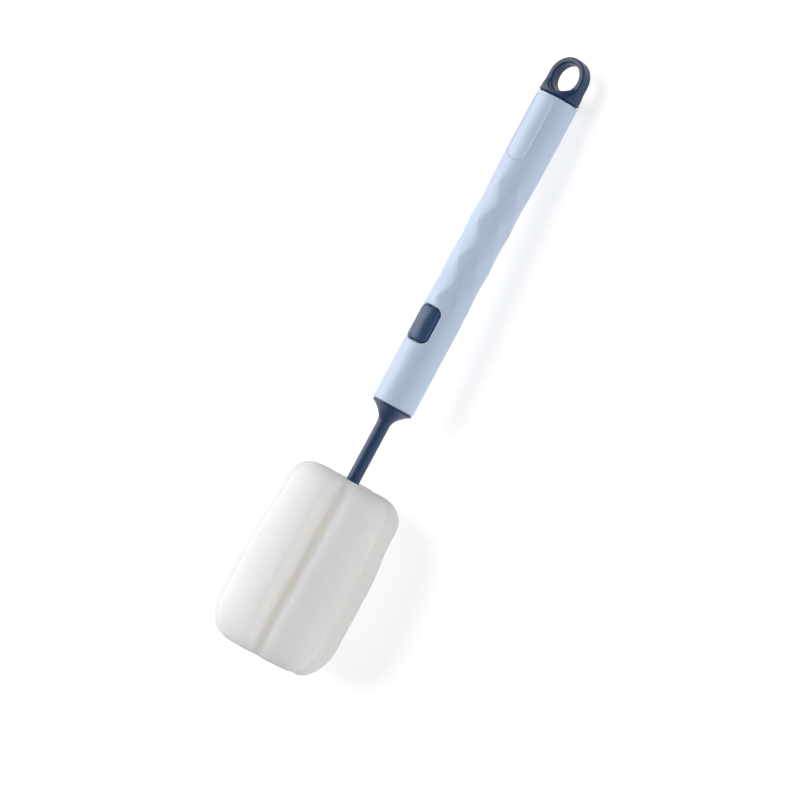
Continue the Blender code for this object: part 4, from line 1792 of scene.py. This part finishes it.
@dataclass
class HeadStem:
    """The head's moulding: plug, flange, flared neck, rod and barbed core.

    Attributes:
        plug: Radius of the plug.
        nose: Radius of the plug's nose.
        nose_length: Length of the nose's taper.
        nose_round: Size of the round at the nose's tip.
        taper_round: Size of the round where its taper ends.
        plug_foot: Size of the round between the plug and the flange.
        flange: Radius of the flange.
        flange_thickness: Its thickness.
        flange_edge: Size of the round on its upper edge.
        flange_foot: Size of the round on its lower edge.
        recess: Radius of the step between the flange and the tube's end.
        recess_height: Height of that step, which lies in shadow.
        flare_root: Radius of the neck below the flange.
        flare_height: Height over which the neck narrows.
        flare_steps: Number of pieces in that curve.
        rod: Radius of the rod.
        barb: Radius of the core's barbs.
        barb_length: Distance between barbs.
        barb_edge: Size of the round on a barb's edge.
        barb_root: Size of the round where it stands on the rod.
        core_round: Size of the rounds at the core's end.
        lead_in: Distance from the foam's upper end to the first barb.
        core_foot: Distance from the foam's free end to the core's end.
        bar_height: Height of the latch wire's bar above the tube's foot.
        notch_room: Half of the notch's height.
        notch_depth: Distance of the notch's floor from the axis.
        notch_corner: Radius of the notch's corners.
        around: Number of sides of the turned stem.
        crease: Angle in degrees from which an edge is sharp.
    """

    plug: float = 3.8 * MM
    nose: float = 2.6 * MM
    nose_length: float = 2.5 * MM
    nose_round: float = 0.5 * MM
    taper_round: float = 0.6 * MM
    plug_foot: float = 0.3 * MM
    flange: float = 8.8 * MM
    flange_thickness: float = 0.9 * MM
    flange_edge: float = 0.15 * MM
    flange_foot: float = 0.3 * MM
    recess: float = 8.5 * MM
    recess_height: float = 0.7 * MM
    flare_root: float = 8.2 * MM
    flare_height: float = 7.0 * MM
    flare_steps: int = 24
    rod: float = 2.8 * MM
    barb: float = 3.6 * MM
    barb_length: float = 6.0 * MM
    barb_edge: float = 0.15 * MM
    barb_root: float = 0.2 * MM
    core_round: float = 0.3 * MM
    lead_in: float = 9.0 * MM
    core_foot: float = 12.0 * MM
    bar_height: float = 29.2 * MM
    notch_room: float = 0.8 * MM
    notch_depth: float = 2.2 * MM
    notch_corner: float = 0.15 * MM
    around: int = 96
    crease: float = 35.0

    def core(self, foam_top: float) -> list[tuple[float, float, float]]:
        """Draw the barbed core inside the foam, from its upper end down.

        Args:
            foam_top: Height of the foam's upper end.

        Returns:
            Corners of (radius, height, size of the round).
        """
        corners = []
        height = foam_top - self.lead_in
        while height - self.barb_length > self.core_foot + self.rod:
            corners.append((self.rod, height, self.barb_root))
            corners.append((self.barb, height, self.barb_edge))
            height -= self.barb_length
        corners.append((self.rod, height, self.core_round))
        corners.append((self.rod / 2.0, self.core_foot, self.core_round))
        corners.append((0.0, self.core_foot, 0.0))
        return corners

    def notch(self, bar: float) -> bpy.types.Object:
        """Make the cutter of the notch behind which the wire's bar hooks.

        Args:
            bar: Height of the bar.

        Returns:
            The cutter, which reaches past the plug on all sides but one.
        """
        reach = self.flange
        outline = rounded_rectangle(reach, self.notch_room, self.notch_corner)
        rings = [[(x, y, bar + z) for x, z in outline] for y in (self.notch_depth, reach)]
        return lofted("notch", rings, (0.0, self.notch_depth, bar), (0.0, reach, bar))

    def build(self, place: BrushPlace) -> None:
        """Build the stem and lay it in place.

        Args:
            place: Where the brush lies.
        """
        span = place.span("head_stem")
        base = place.span("handle_tube").low.z
        seat = base - CLEARANCE
        underside = base - JOINT_GAP - self.flange_thickness
        corners = [
            (0.0, span.high.z, 0.0),
            (self.nose, span.high.z, self.nose_round),
            (self.plug, span.high.z - self.nose_length, self.taper_round),
            (self.plug, seat, self.plug_foot),
            (self.recess, seat, 0.0),
            (self.recess, seat - self.recess_height, 0.0),
            (self.flange, seat - self.recess_height, self.flange_edge),
            (self.flange, underside, self.flange_foot),
        ]
        for step in range(self.flare_steps + 1):
            share = step / self.flare_steps
            radius = self.rod + (self.flare_root - self.rod) * (1.0 - share) ** 2
            corners.append((radius, underside - self.flare_height * share, 0.0))
        corners += self.core(place.span("sponge").high.z)
        stem = turned("snap_in_stem", softened(corners), self.around)
        combine(stem, self.notch(base + self.bar_height), Mix.CUT)
        smooth(stem, self.crease)
        place.lay(stem, Body.HEAD, NAVY_STEM, ["head_stem"])


@dataclass
class LobedSponge:
    """The foam: five soft lobes round the rod.

    Attributes:
        lobes: Number of lobes.
        radius: Radius of the lobes' round.
        root: Radius at the bottom of the grooves, as a share of the lobes' reach.
        flank: Angle between a groove's middle and its side.
        end_flank: The same, at the foam's ends.
        opening: How much wider that angle is at the rod's end than half way.
        corner: Radius of a lobe's corners.
        shoulder: How far the round at both ends draws the lobes in.
        free_shoulder: Height of that round at the free end.
        rod_shoulder: Height of that round at the rod's end.
        taper: How much narrower the lobes are at the rod's end.
        taper_start: Height from which they narrow.
        dish: How far the ends' middles lie below their lobes.
        dish_curve: How flat the dish is in its middle.
        turn: Angle of the first lobe from the front.
        bore: Radius of the bore's mouth, round the rod.
        mouth: Size of the soft round at the bore's mouth.
        pocket: Radius of the bore below its mouth, round the barbs.
        pocket_depth: Distance from the foam's upper end to where the bore widens.
        pocket_foot: Distance of the bore's end from the foam's free end.
        cell: Distance between the outlines.
        end_steps: Number of outlines over each end.
        shoulder_steps: Number of outlines over each shoulder.
        mouth_steps: Number of outlines over the bore's mouth.
        voxel: Cell of the remesh that evens the foam's mesh.
        soft_rounds: Rounds of smoothing that soften all its edges.
        crease: Angle in degrees from which an edge is sharp.
        swell: Height of the slow unevenness of the cut foam.
        swell_size: Its width.
        grain: Height of the fine unevenness.
        grain_size: Its width.
    """

    lobes: int = 5
    radius: float = 26.4 * MM
    root: float = 0.74
    flank: float = math.radians(40.0)
    end_flank: float = math.radians(42.0)
    opening: float = math.radians(6.0)
    corner: float = 2.6 * MM
    shoulder: float = 10.0 * MM
    free_shoulder: float = 18.0 * MM
    rod_shoulder: float = 10.0 * MM
    taper: float = 1.5 * MM
    taper_start: float = 42.0 * MM
    dish: float = 1.2 * MM
    dish_curve: float = 1.6
    turn: float = math.radians(-6.0)
    bore: float = 3.0 * MM
    mouth: float = 0.8 * MM
    pocket: float = 3.9 * MM
    pocket_depth: float = 8.6 * MM
    pocket_foot: float = 11.6 * MM
    cell: float = 1.2 * MM
    end_steps: int = 16
    shoulder_steps: int = 24
    mouth_steps: int = 6
    voxel: float = 0.66 * MM
    soft_rounds: int = 7
    crease: float = 70.0
    swell: float = 0.35 * MM
    swell_size: float = 14.0 * MM
    grain: float = 0.07 * MM
    grain_size: float = 1.5 * MM

    def half_lobe(self, reach: float, flank: float) -> Outline:
        """Draw half of a lobe, from its groove's root to its middle.

        The groove runs along angle 0. Its side is straight, its corner is an arc that
        touches the side and the outer round, and the outer round is about the axis.

        Args:
            reach: Radius of the outer round.
            flank: Angle of the groove's side.

        Returns:
            Polar points of (angle, radius).
        """
        corner = self.corner
        root = self.root * reach
        flank_steps = 14
        corner_steps = 16
        crown_steps = 14
        along = root * math.cos(flank)
        spread = (reach - corner) ** 2 - corner**2 + 2.0 * root * corner * math.sin(flank)
        length = math.sqrt(along**2 - root**2 + spread) - along
        middle_x = root + length * math.cos(flank) - corner * math.sin(flank)
        middle_y = length * math.sin(flank) + corner * math.cos(flank)
        points = []
        for step in range(flank_steps):
            run = length * step / flank_steps
            points.append((root + run * math.cos(flank), run * math.sin(flank)))
        end = math.atan2(middle_y, middle_x)
        start_deg = math.degrees(flank) - 90.0
        points += arc((middle_x, middle_y), corner, start_deg, math.degrees(end), corner_steps)
        for step in range(1, crown_steps + 1):
            angle = end + (math.pi / self.lobes - end) * step / crown_steps
            points.append((reach * math.cos(angle), reach * math.sin(angle)))
        return [(math.atan2(y, x), math.hypot(x, y)) for x, y in points]

    def ring(
        self, reach: float, flank: float, height: float, share: float = 1.0, hub: float = 0.0
    ) -> list[Point]:
        """Draw one whole outline.

        Args:
            reach: Radius of the outer round.
            flank: Angle of the grooves' sides.
            height: The outline's height.
            share: How much of the way from the hub to the outline it goes.
            hub: Radius of the circle that it is drawn in towards.

        Returns:
            Its points.
        """
        half = self.half_lobe(reach, flank)
        ring = []
        for lobe in range(self.lobes):
            groove = (2.0 * lobe + 1.0) * math.pi / self.lobes + self.turn
            polar = [(groove - angle, radius) for angle, radius in reversed(half[1:-1])]
            polar += [(groove + angle, radius) for angle, radius in half]
            for angle, radius in polar:
                drawn = hub + (radius - hub) * share
                ring.append((drawn * math.sin(angle), -drawn * math.cos(angle), height))
        return ring

    def free_end(self) -> list[list[Point]]:
        """Stack the outlines of the dished free end, from its middle to the shoulder.

        Returns:
            The outlines.
        """
        flat = self.radius - self.shoulder
        rings = []
        # The first outline would crowd the fan's point
        for step in range(2, self.end_steps):
            share = step / self.end_steps
            height = self.dish * (1.0 - share**self.dish_curve)
            rings.append(self.ring(flat, self.end_flank, height, share))
        return rings

    def sides(self, length: float) -> list[list[Point]]:
        """Stack the outlines of the sides, over both shoulders.

        Args:
            length: The foam's length.

        Returns:
            The outlines, from the free end up.
        """
        steps = self.shoulder_steps
        taper_end = length - self.rod_shoulder
        levels = []
        for step in range(steps):
            angle = math.radians(90.0) * step / steps
            levels.append((self.free_shoulder * (1.0 - math.cos(angle)), 1.0 - math.sin(angle)))
        for height in steps_between(self.free_shoulder, taper_end, self.cell):
            levels.append((height, 0.0))
        for step in range(steps + 1):
            angle = math.radians(90.0) * step / steps
            levels.append((taper_end + self.rod_shoulder * math.sin(angle), 1.0 - math.cos(angle)))
        rings = []
        for height, rounding in levels:
            along = (height - self.taper_start) / (taper_end - self.taper_start)
            narrowing = self.taper * math.sin(math.radians(90.0) * min(max(along, 0.0), 1.0)) ** 2
            reach = self.radius - narrowing - self.shoulder * rounding
            side_flank = self.flank + self.opening * (2.0 * height / length - 1.0)
            flank = side_flank + (self.end_flank - side_flank) * rounding
            rings.append(self.ring(reach, flank, height))
        return rings

    def rod_end(self, length: float) -> list[list[Point]]:
        """Stack the outlines of the upper end, from its shoulder down into the bore.

        Args:
            length: The foam's length.

        Returns:
            The outlines.
        """
        flat = self.radius - self.taper - self.shoulder
        mouth = self.bore + self.mouth
        rings = []
        for step in range(1, self.end_steps + 1):
            share = 1.0 - step / self.end_steps
            height = length - self.dish * (1.0 - share**self.dish_curve)
            rings.append(self.ring(flat, self.end_flank, height, share, mouth))
        for step in range(1, self.mouth_steps + 1):
            angle = math.radians(90.0) * step / self.mouth_steps
            radius = mouth - self.mouth * math.sin(angle)
            height = length - self.dish - self.mouth * (1.0 - math.cos(angle))
            rings.append(self.ring(flat, self.end_flank, height, 0.0, radius))
        for radius, height in (
            (self.bore, length - self.pocket_depth),
            (self.pocket, length - self.pocket_depth),
            (self.pocket, self.pocket_foot),
        ):
            rings.append(self.ring(flat, self.end_flank, height, 0.0, radius))
        return rings

    def shell(self, length: float) -> bpy.types.Object:
        """Stack the outlines into the foam's shape.

        Args:
            length: The foam's length.

        Returns:
            The foam.
        """
        rings = self.free_end() + self.sides(length) + self.rod_end(length)
        return lofted("lobed_foam", rings, (0.0, 0.0, self.dish), (0.0, 0.0, self.pocket_foot))

    def roughen(self, obj: bpy.types.Object) -> None:
        """Make the cut foam a little uneven, as foam is under the blade.

        Args:
            obj: The foam.
        """
        # The grain has half as strong a grain of its own, a little over twice as fine
        finer = 2.1
        moved = []
        for vert, normal in zip(obj.data.vertices, obj.data.vertex_normals):
            slow = noise.noise(vert.co / self.swell_size)
            fine = noise.noise(vert.co / self.grain_size)
            fine += 0.5 * noise.noise(vert.co * finer / self.grain_size)
            moved.extend(vert.co + normal.vector * (self.swell * slow + self.grain * fine))
        obj.data.vertices.foreach_set("co", moved)
        obj.data.update()

    def paint_groove_shade(self, obj: bpy.types.Object, length: float) -> None:
        """Store how deep each point lies in a groove, for the painted shade that the foam's colour
        takes on there.

        Args:
            obj: The foam.
            length: The foam's length.
        """
        deepest = self.radius * (1.0 - self.root)
        values = []
        for vert in obj.data.vertices:
            inside = (self.radius - math.hypot(vert.co.x, vert.co.y)) / deepest
            from_end = min(vert.co.z, length - vert.co.z) / self.shoulder
            values.append(min(max(inside, 0.0), 1.0) * min(max(from_end, 0.0), 1.0))
        marks = obj.data.attributes.new("groove", "FLOAT", "POINT")
        marks.data.foreach_set("value", values)

    def build(self, place: BrushPlace) -> None:
        """Build the foam and lay it in place.

        Args:
            place: Where the brush lies.
        """
        span = place.span("sponge")
        length = span.high.z - span.low.z
        foam = self.shell(length)
        even_out(foam, self.voxel, self.soft_rounds)
        self.roughen(foam)
        # Painted shade: the grooves' depth is stored for their warmer colour
        self.paint_groove_shade(foam, length)
        smooth(foam, self.crease)
        place.lay(foam, Body.HEAD, WHITE_FOAM, ["sponge"])


# Studio


@dataclass
class Studio:
    """White paper with a backdrop round it, three soft lamps and the camera.

    The main lamp hangs on the left. A low fill lamp stands on the right, and the third
    stands for the light that the paper bounces at the brush's right edge.

    Attributes:
        camera_side: Angle of the view round the brush, from straight above towards +X.
        lean: Angle by which the brush leans to the right in the picture.
        picture_width: Width that the picture shows at the brush.
        lens: Focal length in millimetres, long because the photograph is nearly flat.
        aim_height: Height on the upright brush that the view aims at.
        aim_right: How far the aim lies to the right of the axis.
        lamp_turn: Angle of the main lamp round the brush's axis, from the view to the left.
        lamp_size: The angle that the main lamp fills, as seen from the brush.
        lamp_level: Its light, as a share of what makes white paper white.
        fill_height: Angle of the fill lamp above the floor.
        fill_size: The angle that it fills.
        fill_level: Its light, as the same share.
        rim_size: The angle that the bounced light fills.
        rim_level: Its light, as the same share.
        sky_level: Light from all round, as the same share.
        floor_size: Half of the paper's width.
        backdrop_height: Height of the backdrop that stands round it.
        far: Distance up to which the camera sees.
    """

    camera_side: float = math.radians(44.0)
    lean: float = math.radians(28.27)
    picture_width: float = 320.0 * MM
    lens: float = 200.0
    aim_height: float = 116.3 * MM
    aim_right: float = 1.3 * MM
    lamp_turn: float = math.radians(88.0)
    lamp_size: float = math.radians(60.0)
    lamp_level: float = 0.82
    fill_height: float = math.radians(4.0)
    fill_size: float = math.radians(50.0)
    fill_level: float = 0.51
    rim_size: float = math.radians(50.0)
    rim_level: float = 0.3
    sky_level: float = 0.23
    floor_size: float = 8.0
    backdrop_height: float = 1.6
    far: float = 20.0

    def directions(self, place: BrushPlace) -> tuple[Vector, Vector, Vector]:
        """Find the picture's directions at the brush.

        Args:
            place: Where the brush lies.

        Returns:
            Along the brush's axis, towards its right in the picture, and to the viewer.
        """
        axis = place.matrix.to_3x3() @ Vector((0.0, 0.0, 1.0))
        side = Vector((1.0, 0.0, 0.0))
        above = side.cross(axis)
        back = side * math.sin(self.camera_side) + above * math.cos(self.camera_side)
        return axis, axis.cross(back), back

    def camera(self, place: BrushPlace) -> None:
        """Set up the camera at the photograph's angle.

        Args:
            place: Where the brush lies.
        """
        data = bpy.data.cameras.new("camera")
        data.lens = self.lens
        data.clip_end = self.far
        camera = new_object("camera", data)
        axis, right_of_axis, back = self.directions(place)
        right = axis * math.sin(self.lean) + right_of_axis * math.cos(self.lean)
        up = axis * math.cos(self.lean) - right_of_axis * math.sin(self.lean)
        distance = self.picture_width * self.lens / data.sensor_width
        aim = place.matrix @ Vector((0.0, 0.0, self.aim_height)) + right_of_axis * self.aim_right
        matrix = Matrix((right, up, back)).transposed().to_4x4()
        matrix.translation = aim + back * distance
        camera.matrix_world = matrix
        bpy.context.scene.camera = camera

    def lamp(self, name: str, towards: Vector, size: float, level: float) -> bpy.types.Object:
        """Hang a round soft lamp far away.

        Args:
            name: Its name.
            towards: The direction from the brush to it.
            size: The angle that it fills, as seen from the brush.
            level: Its light, as a share of what makes white paper white.

        Returns:
            The lamp.
        """
        data = bpy.data.lights.new(name, "SUN")
        data.angle = size
        data.energy = math.pi * level
        lamp = new_object(name, data)
        lamp.location = towards
        lamp.rotation_euler = towards.to_track_quat("Z", "Y").to_euler()
        return lamp

    def surroundings(self) -> None:
        """Lay the paper, stand the backdrop round it and set the light from all round."""
        half = self.floor_size
        top = self.backdrop_height
        sides = [(-half, -half), (half, -half), (half, half), (-half, half)]
        floor = [(x, y, 0.0) for x, y in sides]
        walls = floor + [(x, y, top) for x, y in sides]
        wall_faces = [(4, 5, 1, 0), (5, 6, 2, 1), (6, 7, 3, 2), (7, 4, 0, 3)]
        for name, points, faces, finish in (
            ("paper", floor, [(0, 1, 2, 3)], WHITE_PAPER),
            ("backdrop", walls, wall_faces, WHITE_BACKDROP),
        ):
            mesh = bpy.data.meshes.new(name)
            mesh.from_pydata(points, [], faces)
            mesh.materials.append(finish.shared())
            piece = new_object(name, mesh)
            # The low lamps shine through the backdrop
            piece.visible_shadow = name == "paper"
        world = bpy.data.worlds.new("studio")
        world.use_nodes = True
        sky = world.node_tree.nodes["Background"]
        sky.inputs["Strength"].default_value = self.sky_level
        sky.inputs["Color"].default_value = (1.0, 1.0, 1.0, 1.0)
        bpy.context.scene.world = world

    def build(self, place: BrushPlace) -> None:
        """Set up the whole studio.

        Args:
            place: Where the brush lies.
        """
        self.camera(place)
        _, right_of_axis, back = self.directions(place)
        left = back * math.cos(self.lamp_turn) - right_of_axis * math.sin(self.lamp_turn)
        self.lamp("softbox", left, self.lamp_size, self.lamp_level)
        right = Vector((math.cos(self.fill_height), 0.0, math.sin(self.fill_height)))
        fill = self.lamp("fill", right, self.fill_size, self.fill_level)
        fill.visible_glossy = False
        rim = self.lamp("rim", right_of_axis, self.rim_size, self.rim_level)
        rim.visible_glossy = False
        # Bounced light comes from below, so the paper doesn't stop it
        rim.data.use_shadow = False
        self.surroundings()
        bpy.context.scene.view_settings.view_transform = "Standard"


def clear_scene() -> None:
    """Remove the startup objects."""
    for obj in list(bpy.data.objects):
        bpy.data.objects.remove(obj, do_unlink=True)


def main() -> None:
    """Load the frame, build the brush round it and light it."""
    logging.basicConfig(level=logging.INFO, format="%(name)s: %(message)s")
    clear_scene()
    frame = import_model()
    place = BrushPlace(frame)
    Studio().build(place)
    for part in (Handle(), HangingCap(), Latch(), ReleaseButton(), HeadStem(), LobedSponge()):
        part.build(place)


if __name__ == "__main__":
    main()
